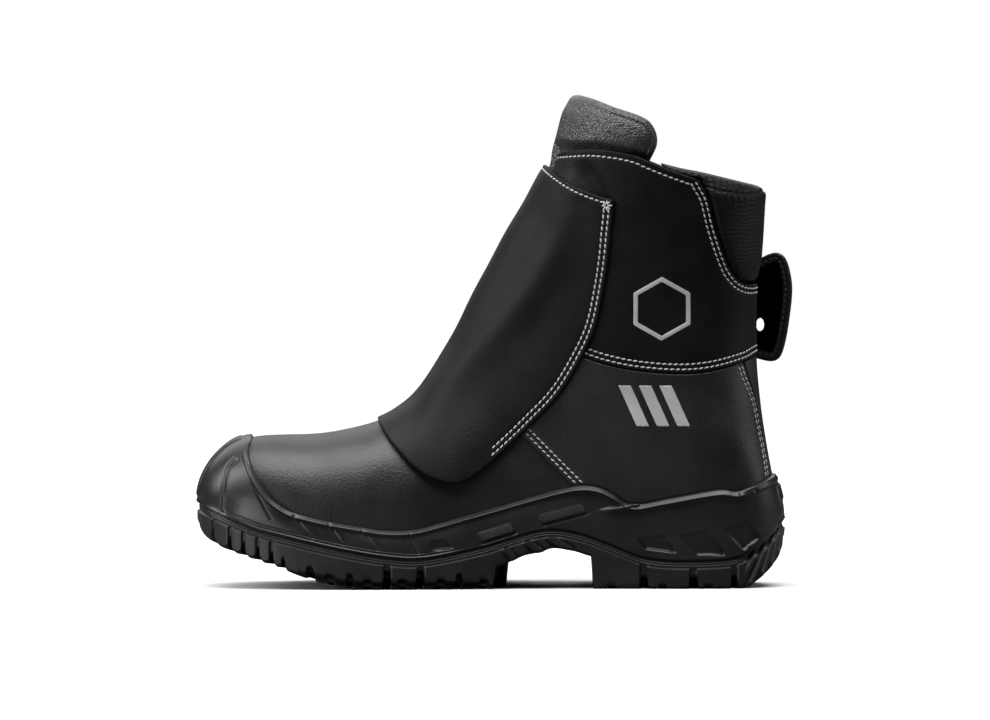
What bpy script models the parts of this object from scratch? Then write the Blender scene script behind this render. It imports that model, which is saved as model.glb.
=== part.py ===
"""Safety boot with a front flap: a right boot, built from its last.

The tables are millimetres on the last: along runs forward from the back of the heel, up runs from the floor,
and across is positive on the inner side of the foot. One function of the last, skin_grid, gives the upper's
outer surface, and every leather piece is cut between two larger forms of it by an outline drawn from the side.
In the model +X points to the toe, +Y to the inner side and +Z up.
"""

import math
from collections import namedtuple

import bmesh
import bpy
from mathutils import Vector

MM = 0.001

# Driving sizes
SOLE_LENGTH = 305.0
BALL_WIDTH = 113.0
BACK_HEIGHT = 206.0

# Sizes that the tables below are drawn for
DRAWN_LENGTH = 305.0
DRAWN_WIDTH = 113.0
DRAWN_HEIGHT = 206.0
ORIGIN_ALONG = 150.5
ORIGIN_ACROSS = -0.87

# Walls and clearances
GAP = 0.3
LEATHER = 2.2
QUARTER_LEATHER = 1.2
STAY_LEATHER = 1.4
SHAFT_LEATHER = 1.8
FLAP_LEATHER = 2.0
FLAP_EDGE_LEATHER = 1.5
INSOLE_THICKNESS = 4.0
TONGUE_SWELL = 4.3
COLLAR_OUT = 2.4
COLLAR_IN = 8.0
WALL_TOE = 4.3
WALL_TOP = 3.4
BUMPER_ALONG = 253.9
POCKET_DEPTH = 1.4
SOLE_BEVEL = 1.2
WELT_INSET = 1.3
WELT_HEIGHT = 4.0
LUG_DEPTH = 6.0

# Sampling of the last
SECTION_STEP = 1.0
LOOP_POINTS = 24
SPREAD = 150.0

Section = namedtuple("Section", "top_along top_up back_along back_up half_wide centre widest front_round back_round")
SECTIONS = [
    Section(300.5, 44.0, 300.5, 37.0, 4.0, 7.0, 0.36, 2.5, 7.0),
    Section(299.0, 55.0, 299.0, 31.0, 15.0, 7.0, 0.36, 2.5, 7.0),
    Section(294.5, 65.5, 294.5, 29.0, 25.0, 6.5, 0.36, 2.5, 7.0),
    Section(286.0, 74.0, 286.0, 27.0, 33.5, 5.5, 0.36, 2.5, 7.0),
    Section(275.0, 77.2, 275.0, 25.0, 40.5, 4.0, 0.36, 2.5, 7.0),
    Section(259.0, 78.5, 260.0, 21.0, 46.0, 2.0, 0.36, 2.4, 7.0),
    Section(243.0, 79.9, 244.0, 18.5, 49.0, 0.5, 0.36, 2.4, 7.0),
    Section(227.0, 82.2, 228.0, 17.5, 50.3, -0.5, 0.36, 2.4, 7.0),
    Section(213.0, 84.8, 211.0, 17.5, 50.5, -1.0, 0.36, 2.4, 7.0),
    Section(201.5, 90.6, 191.0, 17.5, 49.5, -1.8, 0.34, 2.25, 7.0),
    Section(189.8, 99.4, 167.0, 18.5, 46.5, -3.0, 0.33, 2.1, 7.0),
    Section(178.0, 114.8, 139.0, 21.0, 42.5, -4.0, 0.34, 2.05, 7.0),
    Section(168.0, 131.2, 109.0, 24.0, 39.5, -3.5, 0.38, 2.05, 7.0),
    Section(157.0, 152.6, 76.0, 24.0, 38.8, -2.0, 0.4, 2.1, 6.5),
    Section(147.0, 171.3, 41.0, 23.5, 39.3, -0.5, 0.42, 2.1, 6.0),
    Section(139.0, 185.6, 13.0, 24.0, 40.0, 0.0, 0.46, 2.15, 4.2),
    Section(133.0, 196.0, 6.5, 42.0, 40.5, 0.0, 0.48, 2.2, 3.0),
    Section(128.4, 204.0, 11.5, 75.0, 41.0, 0.0, 0.5, 2.2, 2.5),
    Section(124.8, 210.3, 16.2, 112.0, 41.5, 0.0, 0.5, 2.2, 2.2),
    Section(122.2, 214.8, 16.6, 150.0, 42.0, 0.0, 0.5, 2.2, 2.2),
    Section(120.6, 217.8, 14.5, 185.0, 42.5, 0.0, 0.5, 2.2, 2.2),
    Section(119.0, 222.0, 13.5, 206.0, 43.0, 0.0, 0.5, 2.2, 2.2),
    Section(117.0, 230.0, 13.5, 220.0, 43.0, 0.0, 0.5, 2.2, 2.2),
    Section(113.0, 245.0, 13.5, 240.0, 43.0, 0.0, 0.5, 2.2, 2.2),
    Section(109.0, 258.0, 13.5, 258.0, 43.0, 0.0, 0.5, 2.2, 2.2),
]

# Outline of the outsole from above
Plan = namedtuple("Plan", "along half_wide centre")
PLAN = [
    Plan(0.0, 0.0, 0.0),
    Plan(2.0, 14.0, 0.0),
    Plan(7.0, 24.0, 0.0),
    Plan(16.0, 33.0, 0.0),
    Plan(30.0, 39.0, 0.0),
    Plan(50.0, 42.5, -0.5),
    Plan(80.0, 43.0, -2.0),
    Plan(110.0, 44.5, -3.5),
    Plan(140.0, 48.0, -4.0),
    Plan(167.0, 52.3, -3.0),
    Plan(191.0, 55.5, -1.8),
    Plan(212.0, 56.5, -1.0),
    Plan(230.0, 56.3, -0.5),
    Plan(248.0, 54.0, 0.8),
    Plan(264.0, 50.3, 2.4),
    Plan(278.0, 44.5, 4.3),
    Plan(290.0, 37.0, 6.0),
    Plan(298.5, 27.0, 6.8),
    Plan(303.5, 14.0, 7.0),
    Plan(305.0, 0.0, 7.0),
]

# Lines of the side view, from the heel to the toe: along and up
FLOOR_LINE = [(-20, 30), (10, 29), (50, 28.5), (80, 30), (100, 33), (121, 34.5), (147, 30), (165, 25), (187, 21.5),
              (211, 21.5), (241, 25), (260, 29), (272, 33), (286, 39.5), (300, 48), (320, 60)]
PARTING_LINE = [(-12, 44), (0.6, 34.4), (9.9, 25.1), (20.7, 18.7), (31, 15.5), (57.4, 14.9), (73.4, 16.5), (83.8, 20.2),
                (99.8, 26.6), (110.2, 29.7), (121, 31.1), (131.4, 29.7), (147.4, 25), (157.7, 22), (187.2, 16.3),
                (207.4, 17.1), (228.5, 20.7), (244, 24), (267.3, 29.7), (276.1, 32.3), (291.6, 38.2), (304.5, 43.9), (320, 51)]
TREAD_LINE = [(0, 30), (0.8, 23), (3.7, 15.8), (9, 9), (15, 4), (22, 0), (40, 0), (60, 0), (100, 0), (146, 0), (190, 0),
              (218, 0), (230, 1.5), (240, 4), (250, 7.5), (260, 11.6), (272.5, 15.8), (286, 20.5), (294, 24.2), (301, 29),
              (305, 35)]
RIM_LINE = [(-14, 66), (-2, 64), (5.7, 60.7), (9.9, 56), (24.9, 50), (33.1, 50.9), (42, 49.9), (62.6, 46.1), (79.7, 43.4),
            (89, 48.3), (96.7, 52), (105, 53), (115.3, 51.4), (136.5, 45.5), (147.4, 42.4), (165, 37.6), (186.2, 31.8),
            (196, 30.2), (207.4, 30.2), (218.7, 31.8), (236.8, 35), (253.9, 39.2), (263.2, 43.9), (270.4, 51.4),
            (277.1, 60.7), (280.3, 70.6), (281.3, 80.4), (281.3, 95)]
TOP_LINE = [(0, 207), (13, 206.5), (21, 205), (33.6, 206.5), (43.6, 209.5), (49, 212), (60, 216), (70, 220), (80, 224),
            (96, 226.5), (108.6, 225.7), (114.5, 223.5), (118.4, 220), (121, 214), (124, 204), (140, 190)]
SHAFT_EDGE = [(-10, 129), (14.5, 123.8), (23.3, 119.7), (36.2, 116), (49.1, 114.3), (62, 114.5), (75, 116), (85.3, 117.9),
              (95.7, 120.7), (112, 126)]
COLLAR_EDGE = [(47, 215), (45.5, 210), (40.9, 201), (37.3, 185.3), (31.6, 167.2), (25.9, 159.5), (18.1, 153.6), (8, 152.5),
               (-10, 152.5)]
COLLAR_CORNERS = [(-10, 240), (47, 240)]
SHAFT_FRONT = [(110, 150), (112, 180), (116, 200), (121, 216), (150, 240)]
STAY_EDGE = [(21.5, 126), (22.8, 117), (17.1, 97.5), (13, 76.8), (9.5, 54)]
SEAM_EDGE = [(104, 46.3), (110.2, 52.5), (134.5, 76.8), (146, 88)]
FLAP_INNER_EDGE = [(92, 199), (91, 185.3), (92.6, 169.8), (95.7, 154.3), (100.9, 133.6), (108.6, 113), (119, 98.5),
                   (131.9, 84.5), (142.2, 74.2), (151, 66.4), (162.9, 57.1), (173.2, 53.5), (186.2, 57.6), (193.9, 63.3),
                   (201.7, 71.6), (206.9, 78.3), (210.5, 84.5), (212.5, 92)]
FLAP_TOP_EDGE = [(128, 222), (124.1, 218.9), (116.4, 212.7), (106, 206), (92, 199)]
TONGUE_EDGE = [(125, 258), (110.2, 255.4), (100.9, 252.5), (90.5, 248.4), (75, 243.2), (69.8, 239.1), (67.2, 232.9),
               (68.3, 226), (76, 214), (95, 190), (115, 165), (135, 136), (155, 113), (175, 98), (196, 91), (204, 97)]

# Grooves between the side lugs: middle along and width
Groove = namedtuple("Groove", "along width")
SIDE_GROOVES = [Groove(27.2, 4.6), Groove(48.1, 5.2), Groove(73.7, 5.6), Groove(169.3, 3.8), Groove(188.7, 4.2),
                Groove(205.8, 4.2), Groove(225.2, 3.8), Groove(245.3, 4.4), Groove(261.5, 2.6), Groove(272.8, 2.4),
                Groove(280.0, 2.4), Groove(287.8, 2.4)]
GROOVE_REACH = 25.0
CENTRE_GROOVES = [Groove(38.0, 5.0), Groove(62.0, 5.0), Groove(86.0, 5.0), Groove(160.0, 5.0), Groove(179.0, 5.0),
                  Groove(197.0, 5.0), Groove(215.0, 5.0), Groove(234.0, 5.0), Groove(254.0, 5.0)]
CENTRE_HALF = 19.0
WAIST_BACK = 101.0
WAIST_FRONT = 147.0
WAIST_UP = 18.5

# Sunk panels in the wall of the sole: four corners each, from the lower back one round to the upper back one
POCKETS = [
    [(22.5, 29.5), (31.5, 25.0), (40.5, 33.0), (28.0, 35.0)],
    [(38.5, 23.5), (54.0, 23.5), (63.5, 31.5), (49.0, 33.5)],
    [(60.0, 23.5), (71.5, 25.0), (77.5, 31.0), (64.5, 33.0)],
    [(101.0, 36.8), (123.5, 31.8), (129.5, 36.2), (107.0, 42.2)],
    [(126.8, 29.3), (140.0, 25.5), (150.0, 31.0), (132.8, 36.2)],
    [(152.5, 24.4), (170.0, 21.5), (175.0, 27.0), (158.0, 30.5)],
]

STRAP_THICKNESS = 2.6
STRAP_LOW = 115.0
STRAP_HIGH = 172.0
STRAP_END = [(8, 172), (1.5, 168), (-2.8, 160), (-4, 152), (-2.5, 137), (0, 125), (3, 117), (8, 115)]
STRAP_START = 120.0
STRAP_LEAVES = 44.0
STRAP_TIP = (-9.0, -30.0)
STRAP_STEPS = 9
STRAP_HOLE_ALONG = 13.5
STRAP_HOLE_UP = 133.0
STRAP_HOLE_RADIUS = 3.6

THROAT_HALF = 13.5
THROAT_EDGE = [(100, 240), (95, 214), (110, 190), (128, 160), (148, 125), (170, 100), (182, 93)]
THROAT_FRONT = [(205, 93), (205, 130), (170, 240)]


def spline(values, position):
    """Catmull-Rom curve through a list of tuples at a fractional index."""
    index = min(int(position), len(values) - 2)
    share = position - index
    before = values[max(index - 1, 0)]
    start = values[index]
    end = values[index + 1]
    after = values[min(index + 2, len(values) - 1)]
    return [
        0.5 * (2 * b + (c - a) * share + (2 * a - 5 * b + 4 * c - d) * share**2 + (3 * b - a - 3 * c + d) * share**3)
        for a, b, c, d in zip(before, start, end, after)
    ]


def smooth(points, steps=2):
    """The points of a line with its spans split along a smooth curve."""
    count = (len(points) - 1) * steps
    return [tuple(spline(points, i / steps)) for i in range(count + 1)]


def height_on(line, along):
    """Height of a side-view line over a place along the boot, straight between its points."""
    for (a, low), (b, high) in zip(line, line[1:]):
        if a <= along <= b:
            return low + (high - low) * (along - a) / (b - a)
    return line[0][1] if along < line[0][0] else line[-1][1]


def ease(low, high, value):
    """Smooth step from 0 at low to 1 at high."""
    share = min(max((value - low) / (high - low), 0.0), 1.0)
    return share * share * (3 - 2 * share)


def raised(line, rise):
    """A side-view line moved straight up."""
    return [(along, up + rise) for along, up in line]


def to_frame(along, across, up):
    """A point of the tables, in the model's frame and metres."""
    return Vector((
        (along - ORIGIN_ALONG) * SOLE_LENGTH / DRAWN_LENGTH,
        (across - ORIGIN_ACROSS) * BALL_WIDTH / DRAWN_WIDTH,
        up * BACK_HEIGHT / DRAWN_HEIGHT,
    )) * MM


def section_loop(section):
    """One closed section of the last: a round-cornered loop between its top and back points."""
    top = Vector((section.top_along, section.top_up))
    back = Vector((section.back_along, section.back_up))
    middle = back.lerp(top, section.widest)
    loop = []
    for i in range(LOOP_POINTS):
        angle = 2 * math.pi * i / LOOP_POINTS
        reach, side = math.cos(angle), math.sin(angle)
        end, power = (top, section.front_round) if reach >= 0 else (back, section.back_round)
        point = middle + (end - middle) * abs(reach) ** (2 / power)
        across = section.centre + section.half_wide * math.copysign(abs(side) ** (2 / power), side)
        loop.append(Vector((point.x, across, point.y)))
    return loop


def skin_grid():
    """Points and outward directions of the last's surface, a row for each section from toe to shaft."""
    count = int((len(SECTIONS) - 1) / SECTION_STEP)
    rows = [section_loop(Section(*spline(SECTIONS, i * SECTION_STEP))) for i in range(count + 1)]
    outward = []
    for i, row in enumerate(rows):
        ahead, behind = rows[max(i - 1, 0)], rows[min(i + 1, count)]
        normals = []
        for j in range(LOOP_POINTS):
            around = row[(j + 1) % LOOP_POINTS] - row[j - 1]
            normals.append((ahead[j] - behind[j]).cross(around).normalized())
        outward.append(normals)
    return rows, outward


SKIN_ROWS, SKIN_OUTWARD = skin_grid()


def new_object(name, bm):
    """A mesh object of the scene made from a bmesh, with its faces turned outward."""
    bmesh.ops.recalc_face_normals(bm, faces=bm.faces)
    if bm.calc_volume(signed=True) < 0:
        bmesh.ops.reverse_faces(bm, faces=bm.faces)
    mesh = bpy.data.meshes.new(name)
    bm.to_mesh(mesh)
    bm.free()
    thing = bpy.data.objects.new(name, mesh)
    bpy.context.scene.collection.objects.link(thing)
    return thing


def form(name, offset):
    """The last as a closed solid, grown by offset: millimetres, or a function of the point on the last."""
    bm = bmesh.new()
    rings = []
    for row, outward in zip(SKIN_ROWS, SKIN_OUTWARD):
        ring = []
        for point, normal in zip(row, outward):
            grow = offset(point) if callable(offset) else offset
            ring.append(bm.verts.new(to_frame(*(point + normal * grow))))
        rings.append(ring)
    for ring, following in zip(rings, rings[1:]):
        for j in range(LOOP_POINTS):
            k = (j + 1) % LOOP_POINTS
            bm.faces.new((ring[j], ring[k], following[k]))
            bm.faces.new((ring[j], following[k], following[j]))
    bm.faces.new(rings[0])
    bm.faces.new(rings[-1])
    return new_object(name, bm)


def prism(name, outline, low=-SPREAD, high=SPREAD):
    """A closed side-view outline drawn out across the boot, from low to high."""
    bm = bmesh.new()
    face = bm.faces.new([bm.verts.new(to_frame(along, low, up)) for along, up in outline])
    drawn = bmesh.ops.extrude_face_region(bm, geom=[face])["geom"]
    shift = to_frame(ORIGIN_ALONG, high, 0) - to_frame(ORIGIN_ALONG, low, 0)
    bmesh.ops.translate(bm, vec=shift, verts=[v for v in drawn if isinstance(v, bmesh.types.BMVert)])
    return new_object(name, bm)


def combine(thing, other, operation):
    """Cuts, keeps or joins thing with other by a Boolean modifier that is applied, and removes other.

    The forms of the last lie so close together that the exact solver drops some of the cuts, so this uses the
    manifold one.
    """
    step = thing.modifiers.new(operation.lower(), "BOOLEAN")
    step.operation = operation
    step.object = other
    step.solver = "MANIFOLD"
    bpy.context.view_layer.update()
    evaluated = thing.evaluated_get(bpy.context.evaluated_depsgraph_get())
    mesh = bpy.data.meshes.new_from_object(evaluated)
    thing.modifiers.clear()
    thing.data = mesh
    bpy.data.objects.remove(other)
    return thing


def keep(thing, outline, low=-SPREAD, high=SPREAD):
    """What lies inside a side-view outline."""
    return combine(thing, prism("keeper", outline, low, high), "INTERSECT")


def cut(thing, outline, low=-SPREAD, high=SPREAD):
    """What lies outside a side-view outline."""
    return combine(thing, prism("cutter", outline, low, high), "DIFFERENCE")


def layer(name, outer, inner, outlines, low=-SPREAD, high=SPREAD):
    """A piece of the wall between two forms of the last, inside each of the side-view outlines."""
    piece = form(name, outer)
    for outline in outlines:
        keep(piece, outline, low, high)
    return combine(piece, form("inner_form", inner), "DIFFERENCE")


def above(line, top=300.0):
    """The side-view area over a line."""
    return list(line) + [(line[-1][0], top), (line[0][0], top)]


def below(line, bottom=-30.0):
    """The side-view area under a line."""
    return list(line) + [(line[-1][0], bottom), (line[0][0], bottom)]


def bumper_wall(point):
    """Thickness of the sole's material on the last: the bumper over the toe, less behind it."""
    toe = WALL_TOE + (WALL_TOP - WALL_TOE) * ease(46, 70, point.z)
    return 1.5 + (toe - 1.5) * ease(236, 270, point.x)


def flap_seat(point):
    """Underside of the flap: over the shaft's leather at the back, down on the vamp at its front edge."""
    return 0.5 + (2 * GAP + SHAFT_LEATHER - 0.5) * ease(206, 168, point.x)


def flap_face(point):
    """Outer side of the flap, thinner at its front edge."""
    return flap_seat(point) + FLAP_EDGE_LEATHER + (FLAP_LEATHER - FLAP_EDGE_LEATHER) * ease(206, 168, point.x)


def tongue_face(point):
    """Outer side of the tongue: inside the upper, swelling out above its top line and through the throat."""
    line = max(height_on(TOP_LINE, point.x), height_on(TOP_LINE, point.x - 14))
    over = ease(line + 12, line + 18, point.z)
    through = ease(6, 2, abs(point.y)) * ease(196, 210, point.z)
    return -LEATHER - 1.5 * GAP + TONGUE_SWELL * max(over, through)


def tongue_lining(point):
    """Inner side of the tongue, thicker where it is padded above the shaft."""
    line = height_on(TOP_LINE, point.x)
    return -6.0 - 3.0 * ease(line - 25, line + 5, point.z)


def collar_face(point):
    """Outer side of the padded collar, full in its middle."""
    return 1.0 + COLLAR_OUT * ease(152, 172, point.z) * ease(210, 196, point.z)


def make_upper():
    """Leather wall of the foot and shaft, open below, at the throat and at the collar."""
    side = smooth(raised(FLOOR_LINE, GAP)) + smooth(TOP_LINE)[::-1]
    upper = layer("upper", 0.0, -LEATHER, [side])
    cut(upper, smooth(COLLAR_EDGE) + COLLAR_CORNERS)
    return cut(upper, smooth(THROAT_EDGE) + THROAT_FRONT, -THROAT_HALF, THROAT_HALF)


def make_shaft_panel():
    """Overlay round the shaft, from under the flap on one side to the other."""
    side = smooth(SHAFT_EDGE) + SHAFT_FRONT + [(-10, 240)]
    panel = layer("shaft_panel", GAP + SHAFT_LEATHER, GAP, [side, below(smooth(TOP_LINE))])
    cut(panel, smooth(COLLAR_EDGE) + COLLAR_CORNERS)
    return cut(panel, smooth(THROAT_EDGE) + THROAT_FRONT, -THROAT_HALF, THROAT_HALF)


def lower_sides():
    """The two side-view areas that bound the leather between the shaft's edge and the sole's rim."""
    top = smooth(raised(SHAFT_EDGE, -GAP)) + [(170, 150)]
    return [below(top), above(smooth(raised(RIM_LINE[:20], GAP)))]


def make_quarter(name, low, high):
    """Overlay on one side of the heel and waist, from the vamp seam to the heel stay."""
    back = [(along + GAP, up) for along, up in STAY_EDGE]
    side = SEAM_EDGE + [(130, 110), (114, 130)] + back
    return layer(name, GAP + QUARTER_LEATHER, GAP, [side] + lower_sides(), low, high)


def make_heel_stay():
    """Strip of leather up the back of the heel."""
    side = STAY_EDGE + [(-20, 54), (-20, 126)]
    return layer("heel_stay", GAP + STAY_LEATHER, GAP, [side] + lower_sides())


def make_collar_pad():
    """Padded collar that fills the cut-out at the back of the shaft."""
    side = smooth([(along - GAP, up + GAP) for along, up in COLLAR_EDGE])
    corners = [(along - GAP, up) for along, up in COLLAR_CORNERS]
    return layer("collar_pad", collar_face, -COLLAR_IN, [side + corners, below(smooth(TOP_LINE))])


def make_tongue():
    """Padded tongue behind the throat, standing above the shaft and wrapping half of it."""
    side = smooth(TONGUE_EDGE) + [(225, 97), (225, 258)]
    return layer("tongue", tongue_face, tongue_lining, [side])


def make_flap():
    """Leather flap over the throat and instep."""
    side = smooth(FLAP_TOP_EDGE) + smooth(FLAP_INNER_EDGE)[1:] + [(240, 92), (240, 222)]
    return layer("front_flap", flap_face, flap_seat, [side])


def strap_seat(seat, along):
    """How far across the outer side the strap lies over the flap at a place along the boot."""
    reach = []
    for i in range(9):
        up = STRAP_LOW + (STRAP_HIGH - STRAP_LOW) * i / 8
        found, place, normal, face = seat.ray_cast(to_frame(along, -SPREAD, up), Vector((0, 1, 0)))
        reach.append(place.y / MM + ORIGIN_ACROSS)
    return min(reach) - 2 * GAP


def make_strap():
    """Closing strap on the outer side, whose rounded end stands free behind the heel."""
    steps = [STRAP_START + (STRAP_LEAVES - STRAP_START) * i / STRAP_STEPS for i in range(STRAP_STEPS + 1)]
    seat = form("strap_seat", flap_face)
    bpy.context.view_layer.update()
    path = smooth([(along, strap_seat(seat, along)) for along in steps] + [STRAP_TIP])
    bpy.data.objects.remove(seat)
    edges = []
    for i, (along, across) in enumerate(path):
        run = Vector(path[min(i + 1, len(path) - 1)]) - Vector(path[max(i - 1, 0)])
        out = Vector((-run.y, run.x)).normalized() * STRAP_THICKNESS
        edges.append(((along, across), (along + out.x, across + out.y)))
    ring = [near for near, far in edges] + [far for near, far in edges[::-1]]
    bm = bmesh.new()
    face = bm.faces.new([bm.verts.new(to_frame(along, across, STRAP_LOW)) for along, across in ring])
    drawn = bmesh.ops.extrude_face_region(bm, geom=[face])["geom"]
    rise = to_frame(0, 0, STRAP_HIGH) - to_frame(0, 0, STRAP_LOW)
    bmesh.ops.translate(bm, vec=rise, verts=[v for v in drawn if isinstance(v, bmesh.types.BMVert)])
    strap = new_object("closing_strap", bm)
    keep(strap, smooth(STRAP_END) + [(STRAP_START + 20, STRAP_LOW), (STRAP_START + 20, STRAP_HIGH)])
    turn = [2 * math.pi * i / 16 for i in range(16)]
    hole = [(STRAP_HOLE_ALONG + STRAP_HOLE_RADIUS * math.cos(a), STRAP_HOLE_UP + 1.6 * STRAP_HOLE_RADIUS * math.sin(a))
            for a in turn]
    return cut(strap, hole)


def make_insole():
    """Insole inside the foot of the upper."""
    insole = form("insole", -LEATHER - 2 * GAP)
    low = smooth(raised(FLOOR_LINE, GAP))
    high = smooth(raised(FLOOR_LINE, GAP + INSOLE_THICKNESS))
    return keep(insole, low + high[::-1])


def plan_ring(inset):
    """The sole's outline from above, drawn in by inset: the inner side from heel to toe, then back outside."""
    steps = 2
    count = (len(PLAN) - 1) * steps
    rows = [Plan(*spline(PLAN, i / steps)) for i in range(count + 1)]
    shrink_along = (DRAWN_LENGTH - 2 * inset) / DRAWN_LENGTH
    shrink_across = (DRAWN_WIDTH - 2 * inset) / DRAWN_WIDTH
    inner = [Vector((inset + r.along * shrink_along, r.centre + r.half_wide * shrink_across)) for r in rows]
    outer = [Vector((inset + r.along * shrink_along, r.centre - r.half_wide * shrink_across)) for r in rows]
    return inner + outer[-2:0:-1]


def ring_outward(ring):
    """Outward direction of a closed ring at each of its points, seen from above."""
    turns = [ring[(j + 1) % len(ring)] - ring[j - 1] for j in range(len(ring))]
    return [Vector((-turn.y, turn.x)).normalized() for turn in turns]


def ring_loft(name, rings):
    """A closed body through rings of the sole's outline, with a ladder of faces over each end."""
    bm = bmesh.new()
    rings = [[bm.verts.new(to_frame(*point)) for point in ring] for ring in rings]
    count = len(rings[0])
    for ring, following in zip(rings, rings[1:]):
        for j in range(count):
            k = (j + 1) % count
            bm.faces.new((ring[j], ring[k], following[k]))
            bm.faces.new((ring[j], following[k], following[j]))
    for ring in (rings[0], rings[-1]):
        for j in range(count // 2):
            bm.faces.new(list(dict.fromkeys((ring[j], ring[j + 1], ring[-j - 1], ring[-j]))))
    return new_object(name, bm)


def rim_height(along):
    """Height of the side wall's top: the rim, and a level that only eases up under the toe bumper."""
    if along < BUMPER_ALONG:
        return height_on(RIM_LINE, along)
    return height_on(RIM_LINE, BUMPER_ALONG) + 0.25 * (along - BUMPER_ALONG)


def sole_body(name, inset):
    """The midsole's outer shape, drawn in by inset: a wall from the outline up to the rim, and the bumper."""
    parting = smooth(PARTING_LINE)
    seat = form("wall_seat", WALL_TOP)
    bpy.context.view_layer.update()
    outline = plan_ring(0.0)
    foot, rim = [], []
    for point, out in zip(outline, ring_outward(outline)):
        out = Vector((out.x, out.y, 0.0))
        start = to_frame(point.x + 60 * out.x, point.y + 60 * out.y, rim_height(point.x))
        found, place, normal, face = seat.ray_cast(start, -out)
        top = Vector((place.x / MM + ORIGIN_ALONG, place.y / MM + ORIGIN_ACROSS, rim_height(point.x)))
        foot.append(Vector((point.x, point.y, height_on(parting, point.x))) - out * inset)
        rim.append(top - out * inset)
    bpy.data.objects.remove(seat)
    rings = [[a.lerp(b, share) for a, b in zip(foot, rim)] for share in (1.3, 1.0, 0.5, 0.0)]
    rings.append([point - Vector((0, 0, 3)) for point in foot])
    body = ring_loft(name, rings)
    return combine(body, form("bumper", lambda point: bumper_wall(point) - inset), "UNION")


def make_midsole():
    """Sole body moulded round the upper: floor, side wall, toe bumper and heel cup, with sunk panels."""
    midsole = sole_body("midsole", 0.0)
    keep(midsole, above(smooth(raised(PARTING_LINE, GAP))))
    keep(midsole, below(smooth(RIM_LINE) + [(330, 95)]))
    hollow = keep(form("foot_room", 1.5 * GAP), above(smooth(FLOOR_LINE)))
    combine(midsole, hollow, "DIFFERENCE")
    for corners in POCKETS:
        pocket = prism("pocket", corners)
        combine(pocket, sole_body("pocket_floor", POCKET_DEPTH), "DIFFERENCE")
        combine(midsole, pocket, "DIFFERENCE")
    return midsole


def make_outsole():
    """Tread: a plate under the midsole with a stepped welt, side lugs, centre bars and an open waist."""
    parting = smooth(PARTING_LINE)
    tread = [(along, max(up, 0.0)) for along, up in smooth(TREAD_LINE)]
    welt, edge, sole = plan_ring(WELT_INSET), plan_ring(0.0), plan_ring(SOLE_BEVEL)
    outsole = ring_loft("outsole", [
        [(p.x, p.y, height_on(parting, p.x) + 3.0) for p in welt],
        [(p.x, p.y, height_on(parting, p.x) - WELT_HEIGHT) for p in welt],
        [(p.x, p.y, height_on(parting, p.x) - WELT_HEIGHT - WELT_INSET) for p in edge],
        [(p.x, p.y, min(height_on(tread, p.x) + 2.0, height_on(parting, p.x) - WELT_HEIGHT - 2.5)) for p in edge],
        [(p.x, p.y, min(height_on(tread, p.x), height_on(parting, p.x) - WELT_HEIGHT - 3.5)) for p in sole],
    ])
    keep(outsole, below(parting))
    cut(outsole, [(WAIST_BACK, -20), (WAIST_BACK - 2, WAIST_UP - 3), (WAIST_BACK + 4, WAIST_UP), (126, WAIST_UP + 1),
                  (WAIST_FRONT - 6, WAIST_UP - 4), (WAIST_FRONT + 2, WAIST_UP - 9), (WAIST_FRONT, -20)])
    for groove in SIDE_GROOVES:
        for side in (1, -1):
            outsole = combine(outsole, groove_block(groove, side), "DIFFERENCE")
    for groove in CENTRE_GROOVES:
        root = height_on(TREAD_LINE, groove.along) + LUG_DEPTH
        half = groove.width / 2
        cut(outsole, [(groove.along - half, -20), (groove.along - half, root), (groove.along + half, root),
                      (groove.along + half, -20)], -CENTRE_HALF, CENTRE_HALF)
    return outsole


def groove_block(groove, side):
    """Cutter of one side groove, square to the sole's edge and sloped with the tread."""
    ring = plan_ring(0.0)
    places = [j for j in range(len(ring)) if (ring[j].y > ring[0].y) == (side > 0)]
    index = min(places, key=lambda j: abs(ring[j].x - groove.along))
    inward = -ring_outward(ring)[index]
    run = Vector((-inward.y, inward.x))
    edge = ring[index] + run * ((groove.along - ring[index].x) / run.x if abs(run.x) > 0.3 else 0.0)
    root = height_on(TREAD_LINE, edge.x) + LUG_DEPTH
    slope = (height_on(TREAD_LINE, edge.x + 5) - height_on(TREAD_LINE, edge.x - 5)) / 10
    bm = bmesh.new()
    bmesh.ops.create_cube(bm, size=1.0)
    for vert in bm.verts:
        reach = GROOVE_REACH if vert.co.x > 0 else -12.0
        place = edge + inward * reach + run * groove.width * vert.co.y
        up = root + slope * (place.x - edge.x) if vert.co.z > 0 else -20.0
        vert.co = to_frame(place.x, place.y, up)
    return new_object("groove", bm)


def material(name, colour, roughness):
    """A plain Principled BSDF finish."""
    finish = bpy.data.materials.new(name)
    finish.use_nodes = True
    shader = finish.node_tree.nodes["Principled BSDF"]
    shader.inputs["Base Color"].default_value = (*colour, 1.0)
    shader.inputs["Roughness"].default_value = roughness
    shader.inputs["Metallic"].default_value = 0.0
    return finish


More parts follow.
